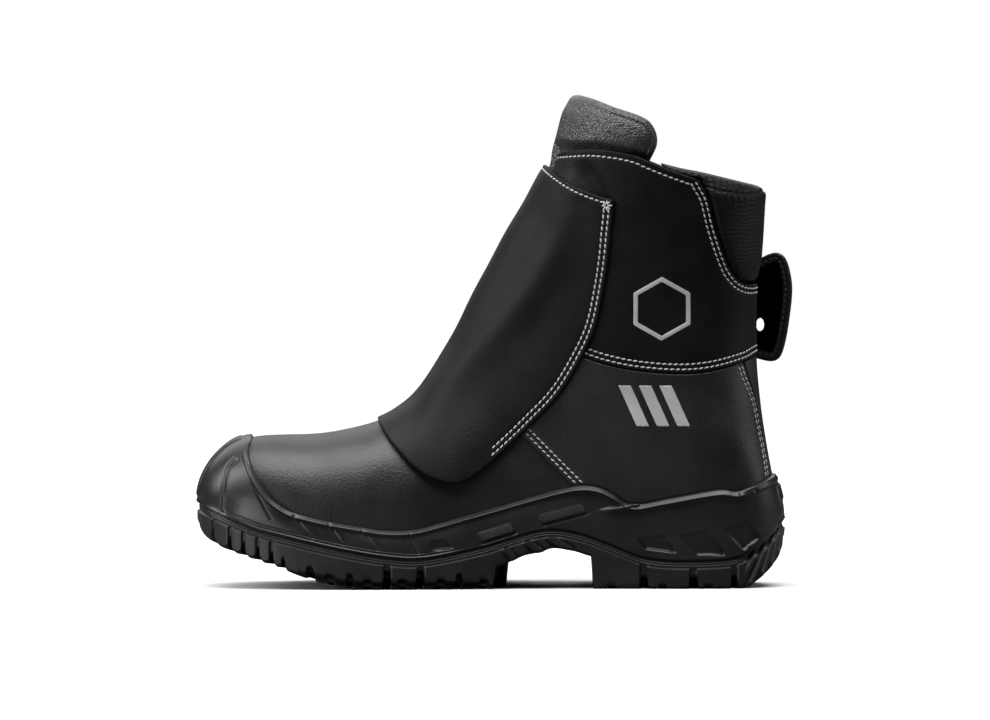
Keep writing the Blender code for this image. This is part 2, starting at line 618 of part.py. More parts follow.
def main():
    """Builds every piece into one collection, each with its finish."""
    for thing in list(bpy.data.objects):
        bpy.data.objects.remove(thing)
    leather = material("smooth_leather", (0.014, 0.014, 0.015), 0.42)
    soft_leather = material("grained_leather", (0.016, 0.016, 0.017), 0.5)
    rubber = material("tread_rubber", (0.012, 0.012, 0.013), 0.55)
    foam = material("moulded_sole", (0.02, 0.02, 0.021), 0.48)
    felt = material("insole_felt", (0.05, 0.05, 0.055), 0.9)
    pieces = [
        (make_outsole(), rubber),
        (make_midsole(), foam),
        (make_insole(), felt),
        (make_upper(), leather),
        (make_quarter("quarter_inner", 4.0, SPREAD), leather),
        (make_quarter("quarter_outer", -SPREAD, -4.0), leather),
        (make_heel_stay(), leather),
        (make_shaft_panel(), leather),
        (make_collar_pad(), soft_leather),
        (make_tongue(), soft_leather),
        (make_flap(), leather),
        (make_strap(), leather),
    ]
    boot = bpy.data.collections.new("safety_boot")
    bpy.context.scene.collection.children.link(boot)
    for thing, finish in pieces:
        thing.data.materials.clear()
        thing.data.materials.append(finish)
        bpy.context.scene.collection.objects.unlink(thing)
        boot.objects.link(thing)


main()
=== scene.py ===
"""Looks of the safety boot: its leather, pads, sole and seams, dressed over the CAD solids.

The tables are millimetres on the last: along runs forward from the back of the heel, across is positive on
the inner side of the foot, and up runs from the floor. Every leather piece lies on one grid of the last, is
cut by the outlines of the side view, and gets its thickness, rounded edges, stitch grooves and folds from
offsets.
"""

import logging
import math
from dataclasses import dataclass, field
from enum import Enum
from typing import Callable, Sequence

import bpy
import numpy as np
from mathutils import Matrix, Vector
from mathutils.bvhtree import BVHTree


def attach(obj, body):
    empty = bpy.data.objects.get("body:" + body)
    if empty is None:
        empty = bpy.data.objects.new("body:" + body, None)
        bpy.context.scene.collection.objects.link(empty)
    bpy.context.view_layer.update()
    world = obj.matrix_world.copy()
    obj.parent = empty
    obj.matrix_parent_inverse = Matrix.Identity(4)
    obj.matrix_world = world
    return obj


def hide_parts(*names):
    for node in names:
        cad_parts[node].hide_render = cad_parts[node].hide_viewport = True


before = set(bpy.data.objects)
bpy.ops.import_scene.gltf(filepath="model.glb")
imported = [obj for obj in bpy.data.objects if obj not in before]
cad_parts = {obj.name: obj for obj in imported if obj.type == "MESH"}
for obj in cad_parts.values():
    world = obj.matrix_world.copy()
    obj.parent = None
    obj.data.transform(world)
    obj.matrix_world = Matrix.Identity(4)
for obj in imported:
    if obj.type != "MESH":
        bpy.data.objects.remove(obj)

log = logging.getLogger("safety_boot")

Array = np.ndarray
Pair = tuple[float, float]
Triple = tuple[float, float, float]
Line = Sequence[Pair]
Offset = Callable[["Patch"], Array]
Material = bpy.types.Material
Socket = bpy.types.NodeSocket

MM = 0.001
ORIGIN = np.array((150.5, -0.87, 0.0))
# Clearance between pieces, and how close to a corner a cut may pass
GAP = 0.3
SNAP = 0.02

# Sections of the last from toe to shaft: top along, top up, back along, back up, half width, centre across,
# height share of the widest place, roundness of the front and of the back
SECTIONS = np.array([
    (300.5, 44, 300.5, 37, 4, 7, 0.36, 2.5, 7),
    (299, 55, 299, 31, 15, 7, 0.36, 2.5, 7),
    (294.5, 65.5, 294.5, 29, 25, 6.5, 0.36, 2.5, 7),
    (286, 74, 286, 27, 33.5, 5.5, 0.36, 2.5, 7),
    (275, 77.4, 275, 25, 40.5, 4, 0.36, 2.5, 7),
    (259, 78.3, 260, 21, 46, 2, 0.36, 2.4, 7),
    (243, 78.7, 244, 18.5, 49, 0.5, 0.36, 2.4, 7),
    (227, 81.5, 228, 17.5, 50.3, -0.5, 0.36, 2.4, 7),
    (213, 84.8, 211, 17.5, 50.5, -1, 0.36, 2.4, 7),
    (201.5, 90.6, 191, 17.5, 49.5, -1.8, 0.34, 2.25, 7),
    (189.8, 99.4, 167, 18.5, 46.5, -3, 0.33, 2.1, 7),
    (178, 114.8, 139, 21, 42.5, -4, 0.34, 2.05, 7),
    (168, 131.2, 109, 24, 39.5, -3.5, 0.38, 2.05, 7),
    (157, 152.6, 76, 24, 38.8, -2, 0.4, 2.1, 6.5),
    (147, 171.3, 41, 23.5, 39.3, -0.5, 0.42, 2.1, 6),
    (139, 185.6, 13, 24, 40, 0, 0.46, 2.15, 4.2),
    (133, 196, 6.5, 42, 40.5, 0, 0.48, 2.2, 3),
    (128.4, 204, 11.5, 75, 41, 0, 0.5, 2.2, 2.5),
    (124.8, 210.3, 16.2, 112, 41.5, 0, 0.5, 2.2, 2.2),
    (122.2, 214.8, 16.6, 150, 42, 0, 0.5, 2.2, 2.2),
    (120.6, 217.8, 14.5, 185, 42.5, 0, 0.5, 2.2, 2.2),
    (119, 222, 13.5, 206, 43, 0, 0.5, 2.2, 2.2),
    (117, 230, 13.5, 220, 43, 0, 0.5, 2.2, 2.2),
    (113, 245, 13.5, 240, 43, 0, 0.5, 2.2, 2.2),
    (109, 258, 13.5, 258, 43, 0, 0.5, 2.2, 2.2),
])

# Outline of the sole from above: along, half width, centre across
PLAN = np.array([
    (0, 0, 0), (2, 14, 0), (7, 24, 0), (16, 33, 0), (30, 39, 0),
    (50, 42.5, -0.5), (80, 43, -2), (110, 44.5, -3.5), (140, 48, -4), (167, 52.3, -3),
    (191, 55.5, -1.8), (212, 56.5, -1), (230, 56.3, -0.5), (248, 54, 0.8), (264, 50.3, 2.4),
    (278, 44.5, 4.3), (290, 37, 6), (298.5, 27, 6.8), (303.5, 14, 7), (305, 0, 7),
])

# Lines of the side view: along and up
FLOOR_LINE = [(-20, 30), (10, 29), (50, 28.5), (80, 30), (100, 33), (121, 34.5), (147, 30), (165, 25),
              (187, 21.5), (211, 21.5), (241, 25), (260, 29), (272, 33), (286, 39.5), (300, 48),
              (320, 60)]
PARTING_LINE = [(-12, 44), (0.6, 34.4), (9.9, 25.1), (20.7, 18.7), (31, 15.5), (57.4, 14.9), (73.4, 16.5),
                (83.8, 20.2), (99.8, 26.6), (110.2, 29.7), (121, 31.1), (131.4, 29.7), (147.4, 25),
                (157.7, 22), (187.2, 16.3), (207.4, 17.1), (228.5, 20.7), (244, 24), (267.3, 29.7),
                (276.1, 32.3), (291.6, 38.2), (304.5, 43.9), (320, 51)]
TREAD_LINE = [(0, 30), (0.8, 23), (3.7, 15.8), (9, 9), (15, 4), (22, 0), (40, 0), (60, 0), (100, 0),
              (146, 0), (190, 0), (218, 0), (230, 1.3), (240, 3.4), (250, 6.6), (260, 10.6),
              (272.5, 14.8), (286, 19.3), (294, 22.9), (301, 27.5), (305, 34)]
RIM_LINE = [(-14, 66), (-2, 64), (5.7, 60.7), (9.9, 56), (24.9, 50), (33.1, 50.9), (42, 49.9),
            (62.6, 46.1), (79.7, 43.4), (89, 48.3), (96.7, 52), (105, 53), (115.3, 51.4), (136.5, 45.5),
            (147.4, 42.4), (165, 37.6), (186.2, 31.8), (196, 30.2), (207.4, 30.2), (218.7, 31.8),
            (236.8, 35), (253.9, 39.4), (261.1, 43.3), (266.6, 47.8), (271.8, 54.7), (275.3, 61.1),
            (277.3, 67.2), (277.5, 72.4), (276.2, 77.0), (274, 95)]
TOP_LINE = [(0, 207), (13, 206.5), (21, 205), (33.6, 206.5), (43.6, 209.5), (49, 212), (60, 216),
            (70, 220), (80, 224), (96, 226.5), (108.6, 226.2), (116, 224.6), (120, 221.2), (122.6, 215),
            (125.5, 204), (140, 190)]
SHAFT_EDGE = [(-10, 125.8), (14.5, 120.7), (23.3, 116.7), (36.2, 113), (49.1, 111.3), (62, 111.4),
              (75, 112.5), (85.3, 114.1), (95.7, 116.6), (103, 119), (112, 122.5)]
COLLAR_EDGE = [(47, 215), (45.5, 210), (40.9, 201), (37.3, 185.3), (31.6, 167.2), (27.2, 160),
               (23.3, 157.2), (19.4, 156.4), (14.3, 156.9), (8, 157), (-10, 157)]
COLLAR_TOP = [(-10, 204.5), (0, 205.5), (8, 206.8), (14.9, 208.2), (24, 210.2), (33.6, 212.3),
              (43, 214.3), (52, 215.9), (60, 217.8), (68, 219.9), (80, 223)]
SHAFT_FRONT = [(110, 150), (112, 180), (116, 200), (121, 216), (150, 240)]
STAY_EDGE = [(22.4, 126), (22.8, 115), (17.1, 97.5), (13, 76.8), (9.5, 54)]
SEAM_EDGE = [(104, 46.3), (110.2, 52.5), (134.5, 76.8), (146, 88)]
FLAP_INNER_EDGE = [(88.6, 200.5), (88.8, 193), (89.6, 185.3), (91.1, 169.8), (93.6, 154.3), (98.4, 133.6),
                   (107.6, 114.5), (118, 98.5), (131.4, 84.5), (142.2, 74.2), (151, 66.4), (162.9, 57.1),
                   (173.2, 53.5), (186.2, 57.6), (193.9, 63.3), (201.7, 71.6), (206.9, 78.3),
                   (210.5, 84.5), (212.5, 92)]
FLAP_TOP_EDGE = [(128, 222), (124.1, 218.9), (116.4, 212.7), (106, 206.6), (96, 202.5), (88.6, 200.5)]
TONGUE_EDGE = [(125, 258), (110.2, 255.4), (100.9, 252.5), (90.5, 248.4), (75, 243.2), (69.8, 239.1),
               (67.2, 232.9), (68.3, 226), (76, 214), (95, 190), (115, 165), (135, 136), (155, 113),
               (175, 98), (196, 91), (204, 97)]
THROAT_EDGE = [(100, 240), (95, 214), (110, 190), (128, 160), (148, 125), (170, 100), (182, 93)]
THROAT_FRONT = [(205, 93), (205, 130), (170, 240)]
STRAP_END = [(40, 168), (26, 167.6), (15, 168.2), (8, 171.2), (3.5, 172), (-0.4, 169.2), (-2.9, 162),
             (-4, 152), (-2.5, 137), (-0.4, 125), (2.2, 117.6), (6, 115.3), (11, 115.9), (18, 117.6),
             (30, 118)]
# The rim as far as the quarters need it, and as far as the bumper
RIM_OF_QUARTERS = RIM_LINE[:20]
RIM_OF_SIDES = RIM_LINE[:22]


class Side(Enum):
    """Side of the boot, by the sign of across."""

    INNER = 1
    OUTER = -1
    BOTH = 0


def catmull(rows: Array, places: Array) -> Array:
    """Smooth curve through the rows of a table.

    Args:
        rows: table of points, one a row.
        places: fractional row numbers.

    Returns:
        One interpolated row for each place.
    """
    index = np.clip(places.astype(int), 0, len(rows) - 2)
    share = (places - index)[:, None]
    before = rows[np.maximum(index - 1, 0)]
    start = rows[index]
    end = rows[index + 1]
    after = rows[np.minimum(index + 2, len(rows) - 1)]
    square = (2 * before - 5 * start + 4 * end - after) * share**2
    cube = (3 * start - before - 3 * end + after) * share**3
    return 0.5 * (2 * start + (end - before) * share + square + cube)


def smooth(points: Line, steps: int = 6) -> Array:
    """The points of a side-view line with each span split along a smooth curve."""
    rows = np.array(points, float)
    return catmull(rows, np.linspace(0, len(rows) - 1, (len(rows) - 1) * steps + 1))


def ease(low: float, high: float, value: Array) -> Array:
    """Smooth step from 0 at low to 1 at high."""
    share = np.clip((value - low) / (high - low), 0.0, 1.0)
    return share * share * (3 - 2 * share)


def swell(value: Array, width: float) -> Array:
    """Soft bell of height 1 at value 0."""
    return np.exp(-((value / width) ** 2))


def rounded(share: Array) -> Array:
    """Quarter circle from 0 at share 0 to 1 at share 1."""
    return np.sqrt(1 - (1 - np.clip(share, 0.0, 1.0)) ** 2)


def raised(line: Line, rise: float) -> list[Pair]:
    """A side-view line moved straight up."""
    return [(along, up + rise) for along, up in line]


def above(line: Array, top: float = 300.0) -> Array:
    """Closed outline of the side-view area over a line."""
    return np.vstack([line, [(line[-1][0], top), (line[0][0], top)]])


def below(line: Array, bottom: float = -30.0) -> Array:
    """Closed outline of the side-view area under a line."""
    return np.vstack([line, [(line[-1][0], bottom), (line[0][0], bottom)]])


def unit(vectors: Array) -> Array:
    """Vectors of the last axis drawn to length 1."""
    return vectors / np.maximum(np.linalg.norm(vectors, axis=-1, keepdims=True), 1e-9)


def to_frame(points: Array) -> Array:
    """Points of the tables, in the CAD frame and metres."""
    return (points - ORIGIN) * MM


def nearest(line: Array, places: Array) -> tuple[Array, Array]:
    """Distance of side-view places from an open line.

    Args:
        line: points of the line.
        places: along and up of each place.

    Returns:
        The distances, and the directions from the nearest points of the line.
    """
    best = np.full(len(places), np.inf)
    away = np.zeros((len(places), 2))
    for start, end in zip(line[:-1], line[1:]):
        span = end - start
        share = np.clip((places - start) @ span / max(span @ span, 1e-9), 0, 1)
        gap = places - start - share[:, None] * span
        distance = np.hypot(gap[:, 0], gap[:, 1])
        closer = distance < best
        best[closer] = distance[closer]
        away[closer] = gap[closer]
    return best, away / np.maximum(best, 1e-6)[:, None]


def within(outline: Array, places: Array) -> Array:
    """Whether side-view places lie inside a closed outline.

    Args:
        outline: corners of the outline.
        places: along and up of each place.

    Returns:
        Whether each is inside.
    """
    result = np.zeros(len(places), bool)
    along, up = places.T
    for (a, low), (b, high) in zip(outline, np.roll(outline, -1, axis=0)):
        if low != high:
            crossing = (b - a) * (up - low) / (high - low) + a
            result ^= ((low > up) != (high > up)) & (along < crossing)
    return result


def signed(outline: Array, places: Array) -> Array:
    """Distance of side-view places from a closed outline, positive inside it."""
    distance = nearest(np.vstack([outline, outline[:1]]), places)[0]
    return np.where(within(outline, places), distance, -distance)


def profile(line: Array, along: Array) -> Array:
    """Height of a side-view line over places along the boot."""
    return np.interp(along, line[:, 0], line[:, 1])


def run_along(path: Array) -> Array:
    """Length of a path up to each of its points."""
    return np.concatenate([[0], np.cumsum(np.linalg.norm(np.diff(path, axis=0), axis=1))])


def sampled(rows: Array, run: Array, places: Array) -> Array:
    """Rows of a table at places between the rows' own places on a run."""
    return np.stack([np.interp(places, run, column) for column in rows.T], axis=1)


def resample(path: Array, count: int) -> Array:
    """A path split into count equal spans by its length."""
    run = run_along(path)
    return sampled(path, run, np.linspace(0, run[-1], count + 1))


def in_box(places: Array, low: Sequence[float], high: Sequence[float]) -> Array:
    """Whether side-view places lie in a box."""
    return ((places > low) & (places < high)).all(axis=1)


def stretches(run: Array, kept: Array) -> list[Array]:
    """Stretches of a run of corners where a test keeps them."""
    starts = np.flatnonzero(np.diff(kept.astype(int))) + 1
    return [piece for piece, test in zip(np.split(run, starts), np.split(kept, starts)) if test[0]]


@dataclass
class Patch:
    """Triangles on the surface of the last, with named measures at each corner."""

    base: Array
    outward: Array
    faces: Array
    fields: dict[str, Array] = field(default_factory=dict)

    def places(self) -> Array:
        """Along and up of every corner."""
        return self.base[:, [0, 2]]

    def lifted(self, height: Array) -> Array:
        """The corners moved outward, each by its height."""
        return self.base + self.outward * height[:, None]

    def edges(self) -> Array:
        """Directed edges of all the triangles."""
        return np.vstack([self.faces[:, pair] for pair in ([0, 1], [1, 2], [2, 0])])

    def split(self, name: str, level: float) -> None:
        """Cuts the triangles so that an edge loop runs where a field has a level.

        Args:
            name: the field.
            level: its value on the new loop.
        """
        value = self.fields[name] - level
        value[np.abs(value) < SNAP] = SNAP
        inside = (value > 0)[self.faces]
        count = inside.sum(axis=1)
        mixed = (count == 1) | (count == 2)
        if not mixed.any():
            return
        lone = np.argmax(inside[mixed] == (count[mixed] == 1)[:, None], axis=1)
        order = (lone[:, None] + np.arange(3)) % 3
        a, b, c = np.take_along_axis(self.faces[mixed], order, axis=1).T
        pairs = np.sort(np.stack([np.concatenate([a, a]), np.concatenate([b, c])], axis=1), axis=1)
        keys, where = np.unique(pairs, axis=0, return_inverse=True)
        where = where.ravel() + len(self.base)
        first, second = keys.T
        share = (value[first] / (value[first] - value[second]))[:, None]
        ab, ac = where[:len(a)], where[len(a):]
        self.base = np.vstack([self.base, self.base[first] * (1 - share) + self.base[second] * share])
        mixed_outward = self.outward[first] * (1 - share) + self.outward[second] * share
        self.outward = np.vstack([self.outward, unit(mixed_outward)])
        share = share[:, 0]
        for key, values in self.fields.items():
            added = values[first] * (1 - share) + values[second] * share
            self.fields[key] = np.concatenate([values, np.full(len(added), level) if key == name else added])
        parts = [np.stack(corners, axis=1) for corners in ((a, ab, ac), (ab, b, c), (ab, c, ac))]
        self.faces = np.vstack([self.faces[~mixed]] + parts)

    def keep(self, name: str, level: float) -> None:
        """Drops the triangles where a field is below a level.

        Args:
            name: the field.
            level: what a triangle's mean value has to pass.
        """
        faces = self.faces[self.fields[name][self.faces].mean(axis=1) > level]
        used, faces = np.unique(faces, return_inverse=True)
        self.faces = faces.reshape(-1, 3)
        self.base = self.base[used]
        self.outward = self.outward[used]
        self.fields = {key: values[used] for key, values in self.fields.items()}

    def trim(self, depth: Array) -> None:
        """Keeps the part that lies inside an outline, with its depth as the field named edge.

        Args:
            depth: how far each corner lies inside.
        """
        self.fields["edge"] = depth
        self.split("edge", 0.0)
        self.keep("edge", 0.0)

    def rim(self) -> Array:
        """Directed edges that belong to one triangle alone.

        Returns:
            The two corners of each edge.
        """
        edges = self.edges()
        size = len(self.base)
        keys = edges[:, 0] * size + edges[:, 1]
        backward = edges[:, 1] * size + edges[:, 0]
        return edges[~np.isin(keys, backward)]

    def shell(self, over: Array, under: Array) -> tuple[Array, list[Array]]:
        """A closed skin between two heights over the surface.

        Args:
            over: height of the outer side at each corner.
            under: height of the inner side at each corner.

        Returns:
            The points of both sides, and the faces of the outer side, the inner side and the edge.
        """
        count = len(self.base)
        start, end = self.rim().T
        wall = np.stack([end, start, start + count, end + count], axis=1)
        points = np.vstack([self.lifted(over), self.lifted(under)])
        return points, [self.faces, self.faces[:, ::-1] + count, wall]

    def chains(self, name: str, level: float) -> list[Array]:
        """Runs of corners along the edge loop where a field has a level.

        Args:
            name: the field.
            level: its value on the loop.

        Returns:
            Corner numbers of each run, in order. A closed run ends on its first corner.
        """
        on_level = np.abs(self.fields[name] - level) < 1e-6
        edges = self.edges()
        edges = np.unique(np.sort(edges[on_level[edges].all(axis=1)], axis=1), axis=0)
        links: dict[int, list[int]] = {}
        for a, b in edges.tolist():
            links.setdefault(a, []).append(b)
            links.setdefault(b, []).append(a)
        runs = []
        while links:
            start = next((k for k, v in links.items() if len(v) == 1), next(iter(links)))
            run = [start]
            while links.get(run[-1]):
                here = run[-1]
                following = links[here].pop()
                links[following].remove(here)
                run.append(following)
                if not links[here]:
                    del links[here]
            links.pop(run[-1], None)
            runs.append(np.array(run))
        return runs


def grid_faces(rows: int, columns: int, closed: bool = True) -> Array:
    """Quads between rows of points that are numbered one after another.

    Args:
        rows: number of rows.
        columns: number of points in a row.
        closed: whether each row is a ring.

    Returns:
        The four corners of each quad.
    """
    i, j = np.meshgrid(np.arange(rows - 1), np.arange(columns if closed else columns - 1), indexing="ij")
    k = (j + 1) % columns
    corners = (i * columns + j, i * columns + k, (i + 1) * columns + k, (i + 1) * columns + j)
    return np.stack([corner.ravel() for corner in corners], axis=1)


def grid_patch(points: Array, outward: Array, closed: bool = True) -> Patch:
    """Triangles over a grid of points, turned to face outward.

    Args:
        points: the grid, as rows, columns and coordinates.
        outward: directions away from the surface, in the same form.
        closed: whether each row is a ring.

    Returns:
        The triangles of the whole grid.
    """
    a, b, c, d = grid_faces(*points.shape[:2], closed).T
    faces = np.vstack([np.stack([a, b, c], axis=1), np.stack([a, c, d], axis=1)])
    base, outward = points.reshape(-1, 3), outward.reshape(-1, 3)
    p, q, r = (base[faces[:, corner]] for corner in range(3))
    facing = np.einsum("ij,ij->i", np.cross(q - p, r - p), outward[faces[:, 0]])
    return Patch(base, outward, faces[:, ::-1] if np.median(facing) < 0 else faces)


@dataclass(frozen=True)
class Last:
    """The foot form that the leather lies on, as a grid of small cells."""

    cell: float = 1.35
    columns: int = 256
    steps: int = 180

    def rows(self) -> Array:
        """Fractional section numbers of the grid's rows, a cell apart at most.

        Returns:
            The section numbers, in order.
        """
        step = np.diff(SECTIONS[:, :4], axis=0)
        spans = np.maximum(np.hypot(step[:, 0], step[:, 1]), np.hypot(step[:, 2], step[:, 3]))
        places = [np.zeros(1)]
        for index, span in enumerate(spans):
            count = max(1, math.ceil(span / self.cell))
            places.append(index + (np.arange(count) + 1) / count)
        return np.concatenate(places)

    def grid(self) -> Array:
        """Points of the surface, a row for each section and equal steps round it.

        Returns:
            Points as rows, columns and coordinates.
        """
        table = catmull(SECTIONS, self.rows())
        top, back = table[:, None, 0:2], table[:, None, 2:4]
        quarter = ease(0, 1, np.linspace(0, 1, self.steps)) * math.pi / 2
        angle = np.concatenate([quarter, quarter[1:] + math.pi / 2])
        reach, side = np.cos(angle), np.sin(angle)
        power = 2 / np.where(reach[None] >= 0, table[:, 7:8], table[:, 8:9])
        middle = back + (top - back) * table[:, None, 6:7]
        end = np.where(reach[None, :, None] >= 0, top, back)
        point = middle + (end - middle) * (np.abs(reach)[None] ** power)[:, :, None]
        across = table[:, 4:5] * np.abs(side)[None] ** power
        half = np.stack([point[:, :, 0], across, point[:, :, 1]], axis=2)
        even = np.stack([resample(row, self.columns // 2) for row in half])
        mirrored = even[:, -2:0:-1] * np.array((1, -1, 1))
        loop = np.concatenate([even, mirrored], axis=1)
        loop[:, :, 1] += table[:, 5:6]
        return loop

    def patch(self, low: Pair, high: Pair) -> Patch:
        """The part of the surface inside a box of the side view.

        Args:
            low: lowest along and up.
            high: highest along and up.

        Returns:
            The triangles that touch the box.
        """
        points = self.grid()
        around = np.roll(points, -1, axis=1) - np.roll(points, 1, axis=1)
        outward = unit(np.cross(-np.gradient(points, axis=0), around))
        patch = grid_patch(points, outward)
        patch.fields["near"] = in_box(patch.places(), low, high).astype(float)
        patch.keep("near", 0.0)
        del patch.fields["near"]
        return patch


@dataclass(frozen=True)
class Cut:
    """An outline of the side view that a piece is cut by."""

    outline: Array
    keeps_inside: bool = True
    half_width: float = 0.0

    def depth(self, patch: Patch) -> Array:
        """How far each corner lies inside the piece, measured on the surface.

        Args:
            patch: triangles to be cut.

        Returns:
            Depths, negative outside the piece.
        """
        distance = surface_distance(np.vstack([self.outline, self.outline[:1]]), patch)
        inside = within(self.outline, patch.places()) == self.keeps_inside
        depth = np.where(inside, distance, -distance)
        if self.half_width:
            depth = np.maximum(depth, np.abs(patch.base[:, 1]) - self.half_width)
        return depth


# Least square of the foreshortening that a distance on the surface allows for
STEEPEST = 0.08


def surface_distance(line: Array, patch: Patch) -> Array:
    """Distance of a patch's corners from a side-view line, measured on the surface."""
    distance, away = nearest(line, patch.places())
    return distance / np.sqrt(np.maximum(1 - (away * patch.outward[:, [0, 2]]).sum(axis=1) ** 2, STEEPEST))


@dataclass(frozen=True)
class Fold:
    """A soft ridge, or a trough where its height is negative, drawn from the side."""

    line: Line
    width: float
    height: float

    def offset(self, patch: Patch) -> Array:
        """Height of the fold at each corner, fading towards its ends.

        Args:
            patch: the piece.

        Returns:
            Heights at its corners.
        """
        line = smooth(self.line, 4)
        distance, _ = nearest(line, patch.places())
        span = line[-1] - line[0]
        share = (patch.places() - line[0]) @ span / (span @ span)
        fade = ease(-0.1, 0.3, share) * ease(1.1, 0.7, share)
        return self.height * swell(distance, self.width) * fade


FOLDS = [
    Fold([(190, 72), (187, 80), (175, 102.6), (149, 130), (125, 161), (109.5, 197), (106, 210)], 7.0, 1.5),
    Fold([(199, 82), (196, 90), (184, 110), (158, 138), (134, 169), (119, 203)], 8.0, -0.7),
    Fold([(180, 62), (176, 70), (163, 95), (138, 122), (114, 152), (98, 188)], 9.0, -0.6),
    Fold([(112, 214), (108, 206), (104, 200)], 5.0, 0.7),
    Fold([(58, 212), (53, 195), (48, 172)], 8.0, -0.5),
    Fold([(226, 86), (219, 68), (206, 44)], 11.0, -0.4),
    Fold([(208, 74), (202, 60), (194, 44)], 8.0, 0.35),
    Fold([(52, 104), (76, 98), (102, 92)], 9.0, -0.4),
    Fold([(40, 88), (66, 80), (92, 72)], 9.0, 0.3),
    Fold([(128, 70), (118, 60), (108, 54)], 6.0, -0.4),
]


def folds(patch: Patch) -> Array:
    """Heights of all the folds at a patch's corners, with a slow unevenness of the hide.

    Args:
        patch: the piece.

    Returns:
        Heights at its corners.
    """
    along, across, up = patch.base.T
    broad = np.sin(along / 9.1 + 0.9 * np.sin(up / 13.0)) * np.sin(up / 8.3 + across / 17.0)
    bent = along / 5.3 - up / 11.0 + 1.3 * np.sin(across / 14.0)
    close = np.sin(bent) * np.sin(up / 17.0 + along / 23.0)
    return 0.2 * broad + 0.16 * close + sum(fold.offset(patch) for fold in FOLDS)


SHAFT_DENT = Fold([(106, 220), (99, 208), (91, 194)], 5.0, -2.6)


def dented(patch: Patch) -> Array:
    """Heights of the folds with the dent that the shaft has beside the flap's top corner."""
    return folds(patch) + SHAFT_DENT.offset(patch)


@dataclass
class Rows:
    """Stitch rows of the whole boot, collected while the pieces are built."""

    paths: list[tuple[Array, Array]] = field(default_factory=list)

    def add(self, points: Array, outward: Array) -> None:
        """Takes one row: its points and the directions away from the leather."""
        if len(points) > 1:
            self.paths.append((points, outward))


@dataclass(frozen=True)
class Seam:
    """Rows of stitches beside a line of the side view, inside a box of it."""

    line: Array
    offsets: tuple[float, ...]
    low: Pair = (-50.0, -50.0)
    high: Pair = (400.0, 400.0)
    groove: float = 0.28

    def covers(self, places: Array) -> Array:
        """Whether side-view places lie in the seam's box."""
        return in_box(places, self.low, self.high)


def placed(name: str, data: bpy.types.ID) -> bpy.types.Object:
    """Puts some data into the scene.

    Args:
        name: name of the object.
        data: its mesh, lamp or camera.

    Returns:
        The new object.
    """
    thing = bpy.data.objects.new(name, data)
    bpy.context.scene.collection.objects.link(thing)
    return thing


def mesh_object(name: str, vertices: Array, faces: list[Array], finishes: Sequence[Material],
                slots: Array | None = None) -> bpy.types.Object:
    """A smooth mesh object in the CAD frame.

    Args:
        name: name of the piece.
        vertices: points of the tables.
        faces: arrays of corner numbers, of three or four columns.
        finishes: materials of the piece.
        slots: material number of each face, all the first if left out.

    Returns:
        The new object, linked to the scene.
    """
    mesh = bpy.data.meshes.new(name)
    listed = [face for block in faces for face in block.tolist()]
    mesh.from_pydata(to_frame(vertices).tolist(), [], listed)
    for finish in finishes:
        mesh.materials.append(finish)
    if slots is not None:
        mesh.polygons.foreach_set("material_index", slots.astype(np.int32))
    mesh.polygons.foreach_set("use_smooth", np.ones(len(mesh.polygons), bool))
    mesh.validate()
    return placed(name, mesh)


def face_outward(thing: bpy.types.Object) -> None:
    """Turns a closed mesh inside out if its faces point inward.

    Args:
        thing: object of the mesh.
    """
    mesh = thing.data
    points = np.empty(len(mesh.vertices) * 3, np.float32)
    mesh.vertices.foreach_get("co", points)
    points = points.reshape(-1, 3)
    mesh.calc_loop_triangles()
    corners = np.empty(len(mesh.loop_triangles) * 3, np.int32)
    mesh.loop_triangles.foreach_get("vertices", corners)
    a, b, c = (points[corners.reshape(-1, 3)[:, n]].astype(float) for n in range(3))
    if np.einsum("ij,ij->i", a, np.cross(b, c)).sum() < 0:
        mesh.flip_normals()


def install(thing: bpy.types.Object, slot: str, *nodes: str) -> None:
    """Sets a finished piece on the boot in place of CAD nodes.

    Args:
        thing: the piece.
        slot: not used.
        nodes: CAD nodes it stands for.
    """
    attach(thing, "root")
    if nodes:
        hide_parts(*nodes)
    log.info("%s: %d triangles", thing.name, sum(len(p.vertices) - 2 for p in thing.data.polygons))


# Edge loops of leather and of pads, as shares of their rounding, and loops beside a stitch row
EDGE_LOOPS = (0.3, 0.75, 1.0)
PAD_LOOPS = (0.06, 0.16, 0.32, 0.55, 0.8)
STITCH_LOOPS = (-0.8, 0.8, 0.0)
STITCH_HALF = 0.75
TACK_SPANS = 4


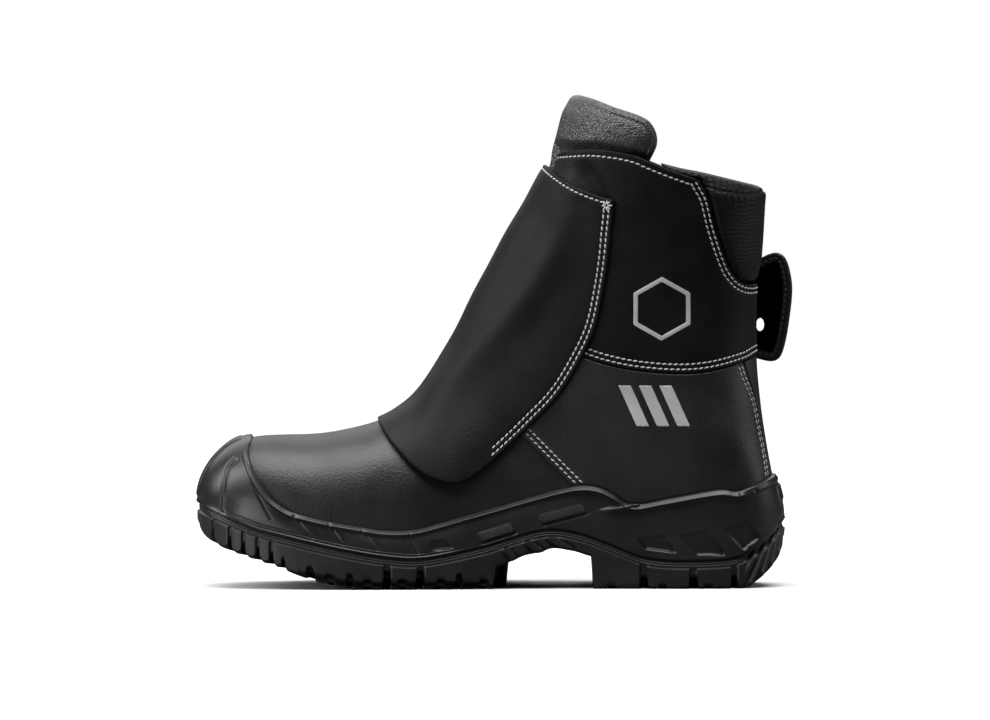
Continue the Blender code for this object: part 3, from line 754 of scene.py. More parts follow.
@dataclass
class Leather:
    """A piece of leather that lies on the last between two offsets of it."""

    name: str
    cuts: list[Cut]
    seat: Offset
    thickness: Offset
    last: Last
    side: Side = Side.BOTH
    seams: list[Seam] = field(default_factory=list)
    tacks: list[Line] = field(default_factory=list)
    edge_round: float = 1.1
    pad_round: float = 0.0
    middle_gap: float = 4.0
    margin: float = 4.0
    relief: Offset = folds

    def patch(self) -> Patch:
        """The piece's triangles, cut out and looped along its edges and stitch rows.

        Returns:
            The triangles, with the depth from the edge and the distance from each seam as fields.
        """
        corners = np.vstack([cut.outline for cut in self.cuts if cut.keeps_inside])
        low, high = corners.min(axis=0) - self.margin, corners.max(axis=0) + self.margin
        patch = self.last.patch(tuple(low), tuple(high))
        depth = np.min([cut.depth(patch) for cut in self.cuts], axis=0)
        if self.side is not Side.BOTH:
            depth = np.minimum(depth, self.side.value * patch.base[:, 1] - self.middle_gap)
        patch.trim(depth)
        rounding = self.pad_round or self.edge_round
        for share in PAD_LOOPS if self.pad_round else EDGE_LOOPS:
            patch.split("edge", share * rounding)
        for number, seam in enumerate(self.seams):
            name = f"seam_{number}"
            patch.fields[name] = surface_distance(seam.line, patch)
            for offset in seam.offsets:
                for shift in STITCH_LOOPS:
                    patch.split(name, offset + shift)
        return patch

    def offsets(self, patch: Patch) -> tuple[Array, Array]:
        """Heights of the outer and inner side over the last.

        Args:
            patch: the piece.

        Returns:
            The heights of the outer side and of the inner side.
        """
        under = self.seat(patch) + self.relief(patch)
        over = under + self.thickness(patch)
        share = rounded(patch.fields["edge"] / (self.pad_round or self.edge_round))
        if self.pad_round:
            middle = (over + under) / 2
            half = (over - middle) * np.maximum(share, 0.08)
            return middle + half, middle - half
        over = under + (over - under) * (0.45 + 0.55 * share)
        for number, seam in enumerate(self.seams):
            distance = patch.fields[f"seam_{number}"]
            covered = seam.covers(patch.places())
            for offset in seam.offsets:
                over = over - seam.groove * swell(distance - offset, STITCH_HALF) * covered
        return over, under

    def stitch(self, patch: Patch, over: Array, rows: Rows) -> None:
        """Gives the piece's stitch rows to the boot's collection.

        Args:
            patch: the piece.
            over: heights of its outer side.
            rows: the boot's stitch rows.
        """
        points = patch.lifted(over)
        for number, seam in enumerate(self.seams):
            for offset in seam.offsets:
                for run in patch.chains(f"seam_{number}", offset):
                    for piece in stretches(run, seam.covers(patch.places()[run])):
                        rows.add(points[piece], patch.outward[piece])
        inner = np.flatnonzero(patch.base[:, 1] > 0)
        for tack in self.tacks:
            marks = resample(np.array(tack, float), TACK_SPANS)
            gaps = [np.hypot(*(patch.places()[inner] - mark).T) for mark in marks]
            piece = inner[[int(np.argmin(gap)) for gap in gaps]]
            rows.add(points[piece], patch.outward[piece])

    def build(self, finishes: Sequence[Material], rows: Rows) -> bpy.types.Object:
        """Makes the piece.

        Args:
            finishes: material of the outer side and, if given, of the inner side.
            rows: the boot's stitch rows, which the piece's own are added to.

        Returns:
            The piece's object.
        """
        patch = self.patch()
        over, under = self.offsets(patch)
        self.stitch(patch, over, rows)
        points, faces = patch.shell(over, under)
        slots = np.concatenate([np.full(len(block), number) for block, number in zip(faces, (0, 1, 0))])
        return mesh_object(self.name, points, faces, finishes, np.minimum(slots, len(finishes) - 1))


def level(value: float) -> Offset:
    """An offset that is the same all over a piece."""
    return lambda patch: np.full(len(patch.base), value)


# Nodes of the stitch tree, and its links: from node, output, to node, input
STITCH_NODES = {
    "start": "NodeGroupInput", "curve": "GeometryNodeMeshToCurve", "even": "GeometryNodeResampleCurve",
    "ball": "GeometryNodeMeshUVSphere", "size": "ShaderNodeCombineXYZ", "shaped": "GeometryNodeTransform",
    "tangent": "GeometryNodeInputTangent", "outward": "GeometryNodeInputNamedAttribute",
    "turn": "FunctionNodeAxesToRotation", "slant": "FunctionNodeRotateRotation",
    "place": "GeometryNodeInstanceOnPoints", "real": "GeometryNodeRealizeInstances",
    "shade": "GeometryNodeSetShadeSmooth", "finish": "GeometryNodeSetMaterial", "end": "NodeGroupOutput",
}
STITCH_LINKS = [
    ("start", "Geometry", "curve", "Mesh"), ("curve", "Curve", "even", "Curve"),
    ("start", "Pitch", "even", "Length"), ("start", "Width", "size", "X"), ("start", "Height", "size", "Y"),
    ("start", "Length", "size", "Z"), ("ball", "Mesh", "shaped", "Geometry"),
    ("size", "Vector", "shaped", "Scale"), ("tangent", "Tangent", "turn", "Primary Axis"),
    ("outward", "Attribute", "turn", "Secondary Axis"), ("turn", "Rotation", "slant", "Rotation"),
    ("even", "Curve", "place", "Points"), ("shaped", "Geometry", "place", "Instance"),
    ("slant", "Rotation", "place", "Rotation"), ("place", "Instances", "real", "Geometry"),
    ("real", "Geometry", "shade", "Geometry"), ("shade", "Geometry", "finish", "Geometry"),
    ("start", "Thread", "finish", "Material"), ("finish", "Geometry", "end", "Geometry"),
]
STITCH_SIZES = ("Pitch", "Length", "Width", "Height")
STITCH_SEGMENTS = 7
STITCH_RINGS = 5
STITCH_SLANT = 9.0


def stitch_tree() -> tuple[bpy.types.NodeTree, dict[str, str]]:
    """Geometry nodes that lay one stitch after another along paths.

    Returns:
        The tree, and the identifier of each of its named inputs.
    """
    tree = bpy.data.node_groups.new("stitch_rows", "GeometryNodeTree")
    sockets = tree.interface
    sockets.new_socket("Geometry", in_out="INPUT", socket_type="NodeSocketGeometry")
    inputs = {}
    for name in STITCH_SIZES:
        inputs[name] = sockets.new_socket(name, in_out="INPUT", socket_type="NodeSocketFloat").identifier
    thread = sockets.new_socket("Thread", in_out="INPUT", socket_type="NodeSocketMaterial")
    inputs["Thread"] = thread.identifier
    sockets.new_socket("Geometry", in_out="OUTPUT", socket_type="NodeSocketGeometry")
    nodes = {name: tree.nodes.new(kind) for name, kind in STITCH_NODES.items()}
    nodes["even"].mode = "LENGTH"
    nodes["outward"].data_type = "FLOAT_VECTOR"
    nodes["turn"].primary_axis = "Z"
    nodes["turn"].secondary_axis = "Y"
    nodes["slant"].rotation_space = "LOCAL"
    nodes["ball"].inputs["Segments"].default_value = STITCH_SEGMENTS
    nodes["ball"].inputs["Rings"].default_value = STITCH_RINGS
    nodes["ball"].inputs["Radius"].default_value = 0.5
    nodes["outward"].inputs["Name"].default_value = "outward"
    nodes["slant"].inputs["Rotate By"].default_value = (0.0, math.radians(STITCH_SLANT), 0.0)
    for source, output, target, socket in STITCH_LINKS:
        tree.links.new(nodes[source].outputs[output], nodes[target].inputs[socket])
    return tree, inputs


@dataclass
class Stitching:
    """The sewing thread of every seam."""

    pitch: float = 3.0
    length: float = 2.5
    width: float = 0.95
    height: float = 0.75
    sink: float = 0.06

    def build(self, name: str, rows: Rows, thread: Material) -> None:
        """Makes and installs the stitches of some rows as one plain mesh.

        Args:
            name: name of the piece.
            rows: the paths to sew along.
            thread: the thread's material.
        """
        points, outward, edges = [], [], []
        count = 0
        for path, away in rows.paths:
            points.append(path + away * self.sink)
            outward.append(away)
            numbers = np.arange(count, count + len(path) - 1)
            edges.append(np.stack([numbers, numbers + 1], axis=1))
            count += len(path)
        mesh = bpy.data.meshes.new("stitch_paths")
        mesh.from_pydata(to_frame(np.vstack(points)).tolist(), np.vstack(edges).tolist(), [])
        attribute = mesh.attributes.new("outward", "FLOAT_VECTOR", "POINT")
        attribute.data.foreach_set("vector", np.vstack(outward).astype(np.float32).ravel())
        paths = placed("stitch_paths", mesh)
        tree, inputs = stitch_tree()
        sewing = paths.modifiers.new("sewing", "NODES")
        sewing.node_group = tree
        for setting in STITCH_SIZES:
            sewing[inputs[setting]] = getattr(self, setting.lower()) * MM
        sewing[inputs["Thread"]] = thread
        bpy.context.view_layer.update()
        evaluated = paths.evaluated_get(bpy.context.evaluated_depsgraph_get())
        sewn = bpy.data.meshes.new_from_object(evaluated)
        sewn.name = name
        bpy.data.objects.remove(paths)
        install(placed(name, sewn), "")


class Nodes:
    """Short way to add shader nodes to a material."""

    def __init__(self, name: str) -> None:
        """Starts a material with its shader.

        Args:
            name: name of the material.
        """
        self.material = bpy.data.materials.new(name)
        self.material.use_nodes = True
        self.tree = self.material.node_tree
        self.shader = self.tree.nodes["Principled BSDF"]
        self.place = self.tree.nodes.new("ShaderNodeTexCoord").outputs["Object"]

    def add(self, kind: str, **inputs: object) -> bpy.types.Node:
        """Adds a node, and sets or links its inputs by name.

        Args:
            kind: end of the node type's name.
            inputs: values or sockets, by input name.

        Returns:
            The node.
        """
        node = self.tree.nodes.new(f"ShaderNode{kind}")
        for name, value in inputs.items():
            socket = node.inputs[name.replace("_", " ")]
            if isinstance(value, Socket):
                self.tree.links.new(value, socket)
            else:
                socket.default_value = value
        return node

    def noise(self, scale: float, detail: float = 3.0, rough: float = 0.55) -> Socket:
        """Value of a noise pattern of the piece."""
        return self.add("TexNoise", Vector=self.place, Scale=scale, Detail=detail, Roughness=rough).outputs[0]

    def ramp(self, value: Socket, low: float, high: float, start: float = 0.0, end: float = 1.0) -> Socket:
        """A value mapped from start and end to low and high.

        Args:
            value: the value.
            low: result at start.
            high: result at end.
            start: lowest value.
            end: highest value.

        Returns:
            The output socket.
        """
        node = self.add("MapRange", Value=value)
        for number, setting in enumerate((start, end, low, high), 1):
            node.inputs[number].default_value = setting
        return node.outputs[0]

    def mix(self, share: Socket, first: Sequence[float], second: Sequence[float]) -> Socket:
        """A colour between two colours.

        Args:
            share: share of the second colour.
            first: a colour.
            second: a colour.

        Returns:
            The output socket.
        """
        node = self.tree.nodes.new("ShaderNodeMix")
        node.data_type = "RGBA"
        self.tree.links.new(share, node.inputs[0])
        node.inputs[6].default_value = (*first, 1.0)
        node.inputs[7].default_value = (*second, 1.0)
        return node.outputs[2]

    def math(self, operation: str, first: Socket, second: object) -> Socket:
        """Result of a sum on two values.

        Args:
            operation: name of the sum.
            first: a value.
            second: a value or a number.

        Returns:
            The output socket.
        """
        node = self.tree.nodes.new("ShaderNodeMath")
        node.operation = operation
        self.tree.links.new(first, node.inputs[0])
        if isinstance(second, Socket):
            self.tree.links.new(second, node.inputs[1])
        else:
            node.inputs[1].default_value = second
        return node.outputs[0]

    def bump(self, height: Socket, strength: float, distance: float, under: Socket | None = None) -> Socket:
        """A bumped normal, over another if one is given.

        Args:
            height: height of the bumps.
            strength: strength of the effect.
            distance: height in metres that a value of 1 stands for.
            under: a normal to start from.

        Returns:
            The output socket.
        """
        node = self.add("Bump", Height=height, Strength=strength, Distance=distance)
        if under is not None:
            self.tree.links.new(under, node.inputs["Normal"])
        return node.outputs["Normal"]

    def link(self, socket: Socket, name: str) -> None:
        """Feeds a value to the shader's input of that name."""
        self.tree.links.new(socket, self.shader.inputs[name])

    def set(self, **values: object) -> None:
        """Sets constant inputs of the shader."""
        for name, value in values.items():
            self.shader.inputs[name.replace("_", " ")].default_value = value


@dataclass(frozen=True)
class LeatherFinish:
    """Black leather: fine pores on a smooth hide, or a soft pebbled grain."""

    name: str
    dark: Triple
    light: Triple
    rough_low: float
    rough_high: float
    pebble: float = 0.05
    pebble_depth: float = 0.0002
    pebble_scale: float = 620.0
    pore_scale: float = 1500.0
    pore: float = 0.12
    pore_depth: float = 0.0003
    wrinkle: float = 0.0
    wrinkle_depth: float = 0.0006
    wrinkle_scale: float = 150.0
    gloss: float = 0.5
    cloud_scale: float = 42.0
    warp_scale: float = 260.0
    warp: float = 0.0009

    def make(self) -> Material:
        """Builds the material.

        Returns:
            The new material.
        """
        nodes = Nodes(self.name)
        cloud = nodes.noise(self.cloud_scale, 4.0)
        nodes.link(nodes.mix(nodes.ramp(cloud, 0, 1, 0.35, 0.68), self.dark, self.light), "Base Color")
        fine = nodes.noise(self.pore_scale, 2.0, 0.6)
        rough = nodes.math("ADD", nodes.ramp(cloud, self.rough_low, self.rough_high, 0.3, 0.7),
                           nodes.ramp(fine, -0.05, 0.05))
        nodes.link(rough, "Roughness")
        normal = nodes.bump(fine, self.pore, self.pore_depth)
        normal = nodes.bump(self.grain(nodes), self.pebble, self.pebble_depth, normal)
        if self.wrinkle:
            wave = nodes.add("TexWave", Vector=nodes.place, Scale=self.wrinkle_scale, Distortion=7.0,
                             Detail=2.0, Detail_Scale=0.6)
            wave.bands_direction = "Z"
            height = nodes.math("MULTIPLY", wave.outputs["Fac"], cloud)
            normal = nodes.bump(height, self.wrinkle, self.wrinkle_depth, normal)
        nodes.link(normal, "Normal")
        nodes.set(Specular_IOR_Level=self.gloss)
        return nodes.material

    def grain(self, nodes: Nodes) -> Socket:
        """Height of the pebbles, as cells with uneven edges.

        Args:
            nodes: nodes of the material.

        Returns:
            The output socket.
        """
        uneven = nodes.add("TexNoise", Vector=nodes.place, Scale=self.warp_scale, Detail=2.0)
        shifted = nodes.tree.nodes.new("ShaderNodeVectorMath")
        shifted.operation = "MULTIPLY_ADD"
        nodes.tree.links.new(uneven.outputs["Color"], shifted.inputs[0])
        shifted.inputs[1].default_value = (self.warp, self.warp, self.warp)
        nodes.tree.links.new(nodes.place, shifted.inputs[2])
        cells = nodes.add("TexVoronoi", Scale=self.pebble_scale, Randomness=0.85)
        cells.feature = "DISTANCE_TO_EDGE"
        nodes.tree.links.new(shifted.outputs[0], cells.inputs["Vector"])
        return nodes.ramp(cells.outputs["Distance"], 0.0, 1.0, 0.0, 0.3)


@dataclass(frozen=True)
class RubberFinish:
    """Moulded black sole stuff with a fine matt texture."""

    name: str
    dark: Triple
    light: Triple
    rough: float
    spread: float = 0.06
    cloud_scale: float = 60.0
    fine_scale: float = 2600.0
    fine: float = 0.12
    fine_depth: float = 0.0002

    def make(self) -> Material:
        """Builds the material.

        Returns:
            The new material.
        """
        nodes = Nodes(self.name)
        cloud = nodes.noise(self.cloud_scale, 5.0)
        nodes.link(nodes.mix(nodes.ramp(cloud, 0, 1, 0.3, 0.7), self.dark, self.light), "Base Color")
        fine = nodes.noise(self.fine_scale, 2.0, 0.6)
        rough = nodes.ramp(cloud, self.rough - self.spread, self.rough + self.spread, 0.3, 0.7)
        nodes.link(rough, "Roughness")
        nodes.link(nodes.bump(fine, self.fine, self.fine_depth), "Normal")
        return nodes.material


@dataclass(frozen=True)
class ClothFinish:
    """Cloth with a fine even weave, or thread."""

    name: str
    dark: Triple
    light: Triple
    rough: float = 0.9
    weave_scale: float = 900.0
    depth: float = 0.4
    sheen: float = 0.2
    gloss: float = 0.5

    def make(self) -> Material:
        """Builds the material.

        Returns:
            The new material.
        """
        nodes = Nodes(self.name)
        wave = nodes.add("TexWave", Vector=nodes.place, Scale=self.weave_scale, Distortion=1.5)
        fuzz = nodes.noise(self.weave_scale * 1.6, 3.0)
        height = nodes.math("MULTIPLY", wave.outputs["Fac"], fuzz)
        nodes.link(nodes.mix(nodes.ramp(height, 0, 1, 0.1, 0.6), self.dark, self.light), "Base Color")
        nodes.link(nodes.bump(height, self.depth, 0.0003), "Normal")
        nodes.set(Roughness=self.rough, Sheen_Weight=self.sheen, Sheen_Roughness=0.5,
                  Specular_IOR_Level=self.gloss)
        return nodes.material


def made(finish: LeatherFinish | RubberFinish | ClothFinish) -> Material:
    """Field of a material that its finish makes."""
    return field(default_factory=finish.make)


@dataclass(frozen=True)
class Finishes:
    """Every material of the boot, made once."""

    smooth: Material = made(LeatherFinish(
        "smooth_leather", (0.004, 0.004, 0.0041), (0.008, 0.008, 0.0081), 0.40, 0.50,
        pore_scale=900.0, pore=0.75, gloss=0.66))
    # Darker copy of the smooth leather for the flap and the shaft panel: its lower colour is painted shade,
    # and its face is rougher and less glossy.
    shaded_guard: Material = made(LeatherFinish(
        "flap_leather", (0.0025, 0.0025, 0.0026), (0.006, 0.006, 0.0061), 0.50, 0.60,
        pore_scale=850.0, pore=0.7, gloss=0.19))
    # Lighter than the smooth leather: the tongue's colour is painted light for the sheen that its pebbled
    # face catches.
    lit_grained: Material = made(LeatherFinish(
        "grained_leather", (0.012, 0.012, 0.0121), (0.022, 0.022, 0.0221), 0.36, 0.44,
        pebble=0.36, pebble_depth=0.0006, pebble_scale=640.0, pore=0.1, gloss=0.9))
    soft: Material = made(LeatherFinish(
        "soft_leather", (0.005, 0.005, 0.0051), (0.010, 0.010, 0.0101), 0.44, 0.52,
        pebble=0.2, pebble_depth=0.0006, pebble_scale=560.0, pore=0.1, wrinkle=0.3, gloss=0.2))
    lining: Material = made(ClothFinish(
        "lining_cloth", (0.008, 0.008, 0.009), (0.03, 0.03, 0.032)))
    pile: Material = made(ClothFinish(
        "loop_pile", (0.0007, 0.0007, 0.0007), (0.002, 0.002, 0.002), 1.0, 1300.0,
        sheen=0.0, gloss=0.0))
    felt: Material = made(ClothFinish(
        "insole_felt", (0.03, 0.03, 0.033), (0.07, 0.07, 0.075), weave_scale=600.0))
    sole: Material = made(RubberFinish(
        "moulded_sole", (0.013, 0.013, 0.0131), (0.019, 0.019, 0.0191), 0.33))
    tread: Material = made(RubberFinish(
        "tread_rubber", (0.010, 0.010, 0.0102), (0.016, 0.016, 0.0162), 0.42))
    thread: Material = made(ClothFinish(
        "sewing_thread", (0.5, 0.5, 0.49), (0.85, 0.85, 0.84), 0.7, 2200.0, 0.3))
    black_thread: Material = made(ClothFinish(
        "black_thread", (0.008, 0.008, 0.008), (0.03, 0.03, 0.03), 0.6, 2200.0, 0.3))
    print: Material = made(RubberFinish(
        "grey_print", (0.50, 0.50, 0.50), (0.58, 0.58, 0.58), 0.55))


@dataclass
class Shaft:
    """Vamp, quarters, heel stay and shaft panel: the leather body of the boot."""

    finishes: Finishes
    rows: Rows
    wall: float = 2.2
    quarter: float = 1.2
    stay: float = 1.4
    panel: float = 1.8
    throat_half: float = 13.5
    fine: Last = Last(1.95, 186)
    plain: Last = Last(2.7, 136)

    def collar_cut(self) -> Cut:
        """The cut-out that the padded collar fills."""
        return Cut(np.vstack([smooth(COLLAR_EDGE), [(-10, 240), (47, 240)]]), keeps_inside=False)

    def throat_cut(self) -> Cut:
        """The slit over the instep, which the tongue closes from behind."""
        return Cut(np.vstack([smooth(THROAT_EDGE), THROAT_FRONT]), False, self.throat_half)

    def lower_cuts(self) -> list[Cut]:
        """What lies between the shaft panel's lower edge and the rim of the sole."""
        top = np.vstack([smooth(raised(SHAFT_EDGE, -GAP)), [(170, 150)]])
        return [Cut(below(top)), Cut(above(smooth(raised(RIM_OF_QUARTERS, GAP))))]

    def upper(self) -> None:
        """Vamp and inner wall, with its cloth lining."""
        side = np.vstack([smooth(raised(FLOOR_LINE, GAP)), smooth(TOP_LINE)[::-1]])
        cuts = [Cut(side), self.collar_cut(), self.throat_cut()]
        piece = Leather("vamp_and_lining", cuts, level(-self.wall), level(self.wall), self.plain,
                        relief=dented)
        thing = piece.build([self.finishes.smooth, self.finishes.lining], self.rows)
        install(thing, "smooth_leather", "upper")

    def quarters(self) -> None:
        """Overlays of the heel and waist, sewn on."""
        back = [(along + GAP, up) for along, up in STAY_EDGE]
        area = np.array(SEAM_EDGE + [(130, 110), (114, 130)] + back + [(9, 36), (104, 36)], float)
        seams = [Seam(smooth(SEAM_EDGE), (2.2, 4.8)), Seam(smooth(STAY_EDGE), (2.2, 4.6))]
        for side, name in ((Side.INNER, "quarter_inner"), (Side.OUTER, "quarter_outer")):
            quarter = Leather(name + "_leather", [Cut(area)] + self.lower_cuts(), level(GAP),
                              level(self.quarter), self.fine, side, seams)
            install(quarter.build([self.finishes.smooth], self.rows), "smooth_leather", name)
        area = np.array(STAY_EDGE + [(-20, 54), (-20, 126)], float)
        stay = Leather("heel_stay_leather", [Cut(area)] + self.lower_cuts(), level(GAP), level(self.stay),
                       self.fine)
        install(stay.build([self.finishes.smooth], self.rows), "smooth_leather", "heel_stay")

    def shaft_panel(self) -> None:
        """Overlay round the shaft, sewn on."""
        low_line = smooth(SHAFT_EDGE)
        area = np.vstack([low_line, SHAFT_FRONT, [(-10, 240)]])
        cuts = [Cut(area), Cut(below(smooth(TOP_LINE))), self.collar_cut(), self.throat_cut()]
        seams = [Seam(low_line, (2.0, 4.6), (0, 100), (104, 140)),
                 Seam(smooth(COLLAR_EDGE), (2.0, 4.4), (0, 140), (60, 209)),
                 Seam(smooth(TOP_LINE), (3.7,), (49, 195), (125, 230))]
        panel = Leather("shaft_panel_leather", cuts, level(GAP), level(self.panel), self.fine, seams=seams,
                        relief=dented)
        install(panel.build([self.finishes.shaded_guard], self.rows), "smooth_leather", "shaft_panel")

    def build(self) -> None:
        """Makes and installs every piece."""
        self.upper()
        self.quarters()
        self.shaft_panel()


# Half arms of the star of stitches at the flap's upper corner
TACK_ARMS = ((1.7, 0.0), (1.2, 1.2), (0.0, 1.7), (-1.2, 1.2))


@dataclass
class Flap:
    """Leather flap over the throat, sewn down on the inner side and free at its front edge."""

    finishes: Finishes
    rows: Rows
    seat_front: float = 0.35
    seat_back: float = 2.4
    edge: float = 1.5
    body: float = 2.0
    lift: float = 1.3
    tack: Pair = (91.8, 197.6)
    last: Last = Last(1.95, 186)

    def behind(self, along: Array) -> Array:
        """Share from 0 over the vamp to 1 over the throat."""
        return ease(206, 168, along)

    def seat(self, patch: Patch) -> Array:
        """Underside of the flap, lifted a little at its free front edge.

        Args:
            patch: the piece.

        Returns:
            Heights at its corners.
        """
        along, across, _ = patch.base.T
        free = ease(42, 0, patch.fields["edge"]) * ease(140, 172, along) * ease(6, 30, np.abs(across))
        return self.seat_front + (self.seat_back - self.seat_front) * self.behind(along) + self.lift * free

    def thickness(self, patch: Patch) -> Array:
        """Thinner at the front edge."""
        return self.edge + (self.body - self.edge) * self.behind(patch.base[:, 0])

    def build(self) -> None:
        """Makes and installs the flap."""
        top, side = smooth(FLAP_TOP_EDGE), smooth(FLAP_INNER_EDGE)
        area = np.vstack([top, side[1:], [(240, 92), (240, 222)]])
        seams = [Seam(side, (2.4, 4.9), (60, 68), (152, 198)), Seam(top, (2.4,), (91.5, 190), (130, 230))]
        along, up = self.tack
        tacks = [[(along - a, up - b), (along + a, up + b)] for a, b in TACK_ARMS]
        piece = Leather("front_flap_leather", [Cut(area)], self.seat, self.thickness, self.last, seams=seams,
                        tacks=tacks)
        thing = piece.build([self.finishes.shaded_guard, self.finishes.lining], self.rows)
        install(thing, "smooth_leather", "front_flap")


@dataclass
class Pads:
    """Padded tongue and collar of soft pebbled leather."""

    finishes: Finishes
    rows: Rows
    tongue_gap: float = 2.65
    tongue_swell: float = 3.9
    tongue_round: float = 4.2
    collar_in: float = 8.0
    collar_out: float = 2.4
    collar_sunk: float = 1.2
    collar_round: float = 4.0
    collar_front: float = 64.0
    wrinkle_pitch: float = 2.7
    gather_pitch: float = 3.6
    tongue_last: Last = Last(1.42, 240)
    collar_last: Last = Last(0.95, 360)

    def tongue_face(self, patch: Patch) -> Array:
        """Outer side of the tongue over the last.

        Args:
            patch: the piece.

        Returns:
            Heights at its corners.
        """
        along, across, up = patch.base.T
        top = smooth(TOP_LINE)
        line = np.maximum(profile(top, along), profile(top, along - 14))
        over = ease(line - 0.5, line + 5, up)
        through = ease(6, 2, np.abs(across)) * ease(196, 210, up)
        return -self.tongue_gap + self.tongue_swell * np.maximum(over, through)

    def tongue_back(self, patch: Patch) -> Array:
        """Inner side of the tongue over the last."""
        line = profile(smooth(TOP_LINE), patch.base[:, 0])
        return -6.0 - 3.0 * ease(line - 25, line + 5, patch.base[:, 2])

    def tongue_relief(self, patch: Patch) -> Array:
        """Soft hollows of the padding and the seam below the top edge.

        Args:
            patch: the piece.

        Returns:
            Heights at its corners.
        """
        along, across, up = patch.base.T
        edge = patch.fields["edge"]
        dents = 0.15 * np.sin(along / 5.3 + 0.8 * np.sin(up / 6.0)) * np.sin(up / 5.1 + across / 9.0)
        full = 1.6 * ease(2, 12, edge) * ease(214, 226, up)
        return (dents + full - 0.9 * swell(edge - 3.4, 0.7) * ease(108, 98, along)) * ease(206, 216, up)

    def collar_face(self, patch: Patch) -> Array:
        """Outer side of the collar, full in its middle."""
        up = patch.base[:, 2]
        return 1.0 + self.collar_out * ease(152, 172, up) * ease(212, 202, up)

    def collar_relief(self, patch: Patch) -> Array:
        """Fine wrinkles that run round the collar, gathers under its top seam and the roll over it.

        Args:
            patch: the piece.

        Returns:
            Heights at its corners.
        """
        along, across, up = patch.base.T
        over_seam = up - profile(smooth(TOP_LINE), along) + 1.5
        bend = up + 0.9 * np.sin(along / 3.7) + 0.8 * np.sin(across / 5.0)
        patches = 0.5 + 0.5 * np.sin(along / 4.0 + up / 9.0 + across / 6.0)
        fade = ease(156, 166, up) * ease(206, 192, up) * patches
        wrinkles = 0.09 * np.sin(bend * 2 * math.pi / self.wrinkle_pitch) * fade
        turn = np.arctan2(across, along - 60) * 42 * 2 * math.pi / self.gather_pitch
        gathers = 0.22 * np.sin(turn + 0.6 * np.sin(up / 2.0)) * ease(196, 203, up)
        return wrinkles + gathers - 1.1 * swell(over_seam, 0.8) - 0.9 * ease(0.0, 2.5, over_seam)

    def build(self) -> None:
        """Makes and installs both pads."""
        area = np.vstack([smooth(TONGUE_EDGE), [(225, 97), (225, 258)]])
        tongue = Leather("tongue_pad", [Cut(area)], self.tongue_back,
                         lambda patch: self.tongue_face(patch) - self.tongue_back(patch), self.tongue_last,
                         pad_round=self.tongue_round, relief=self.tongue_relief)
        thing = tongue.build([self.finishes.lit_grained, self.finishes.lining], self.rows)
        install(thing, "grained_leather", "tongue")
        edge = smooth([(along - GAP, up + GAP) for along, up in COLLAR_EDGE[1:]])
        lip = [(along, up) for along, up in raised(TOP_LINE, -self.collar_sunk) if 48 < along < 63]
        front = self.collar_front
        area = np.vstack([edge, [(-10 - GAP, 240), (front, 240), (front, 218)], lip[::-1]])
        cuts = [Cut(area), Cut(below(smooth(COLLAR_TOP)))]
        collar = Leather("collar_padding", cuts, level(-self.collar_in),
                         lambda patch: self.collar_face(patch) + self.collar_in, self.collar_last,
                         pad_round=self.collar_round, relief=self.collar_relief)
        thing = collar.build([self.finishes.soft, self.finishes.lining], self.rows)
        install(thing, "grained_leather", "collar_pad")


# Sunk panels in the wall of the sole: four corners, from the lower back one round to the upper back one
POCKETS = np.array([
    [(13.1, 25.6), (21.9, 19.2), (32.8, 30.8), (20.2, 35.1)],
    [(30.8, 17.0), (46.2, 17.0), (55.6, 27.1), (41.0, 30.8)],
    [(56.5, 17.9), (73.0, 20.2), (77.4, 26.4), (62.8, 27.9)],
    [(172.2, 20.9), (183.1, 19.7), (184.1, 25.1), (174.8, 26.6)],
])
# Wedges that stand proud of the wall at their lower edge, in the same order of corners
WEDGES = np.array([
    [(103.4, 39.5), (125.1, 33.9), (130.3, 38.0), (106.0, 44.2)],
    [(140.4, 29.7), (156.7, 24.8), (160.8, 28.7), (143.2, 34.9)],
])
# Engraved lines of the wall, the ridge that runs forward from the heel cup, the rib of the toe, and the
# notches of the rim
WALL_LINES = np.array([
    [(276.1, 54.5), (265.8, 35.9)], [(253.9, 38.0), (244.6, 26.6)], [(235.8, 33.3), (228.5, 23.0)],
    [(218.2, 29.7), (211.0, 20.9)], [(194.9, 27.1), (189.8, 18.6)],
])
HEEL_RIDGE = [(76.0, 44.4), (82.2, 42.1), (95.2, 40.1), (101.0, 38.2)]
TOE_RIB = [(284.4, 67.0), (288.5, 62.3), (290.1, 53.5), (290.9, 40.6)]
RIM_NOTCHES = (253.9, 236.0, 218.7, 194.4, 24.3)

# Grooves between the lugs: place along, width, and the share of the lug's height they take. Then grooves of
# the centre bars, and shallow notches with their width
SIDE_GROOVES = [(26.9, 3.6, 1.0), (48.1, 4.1, 1.0), (74.0, 3.8, 1.0), (169.3, 3.4, 0.55), (188.7, 3.6, 1.0),
                (206.0, 3.4, 1.0), (225.2, 3.4, 0.5), (245.6, 3.6, 0.5), (259.4, 1.5, 0.6), (265.8, 1.8, 1.0),
                (273.0, 1.8, 1.0), (280.2, 1.8, 1.0), (287.5, 1.8, 1.0), (296.4, 1.6, 1.0)]
CENTRE_GROOVES = (38.0, 62.0, 86.0, 160.0, 179.0, 197.0, 215.0, 234.0, 254.0)
LUG_NOTCHES = [(40.4, 4.5), (64.1, 4.5), (90.5, 4.5), (156.0, 4.0), (178.0, 4.5), (198.0, 4.5), (216.0, 4.5),
               (235.5, 4.5)]
# Underside of the waist in the side view, and the slanted fins on its side
ARCH_LINE = [(90, 13), (98, 16), (103, 17.2), (110, 19.4), (120.5, 20.9), (127, 18.8), (135, 17.3),
             (143, 13.9), (152, 11), (160, 9)]
WAIST_FINS = [[(144.3, 19.9), (140.1, 14.7)], [(133.4, 23.5), (126.7, 18.9)], [(121.5, 25.6), (111.2, 19.8)]]


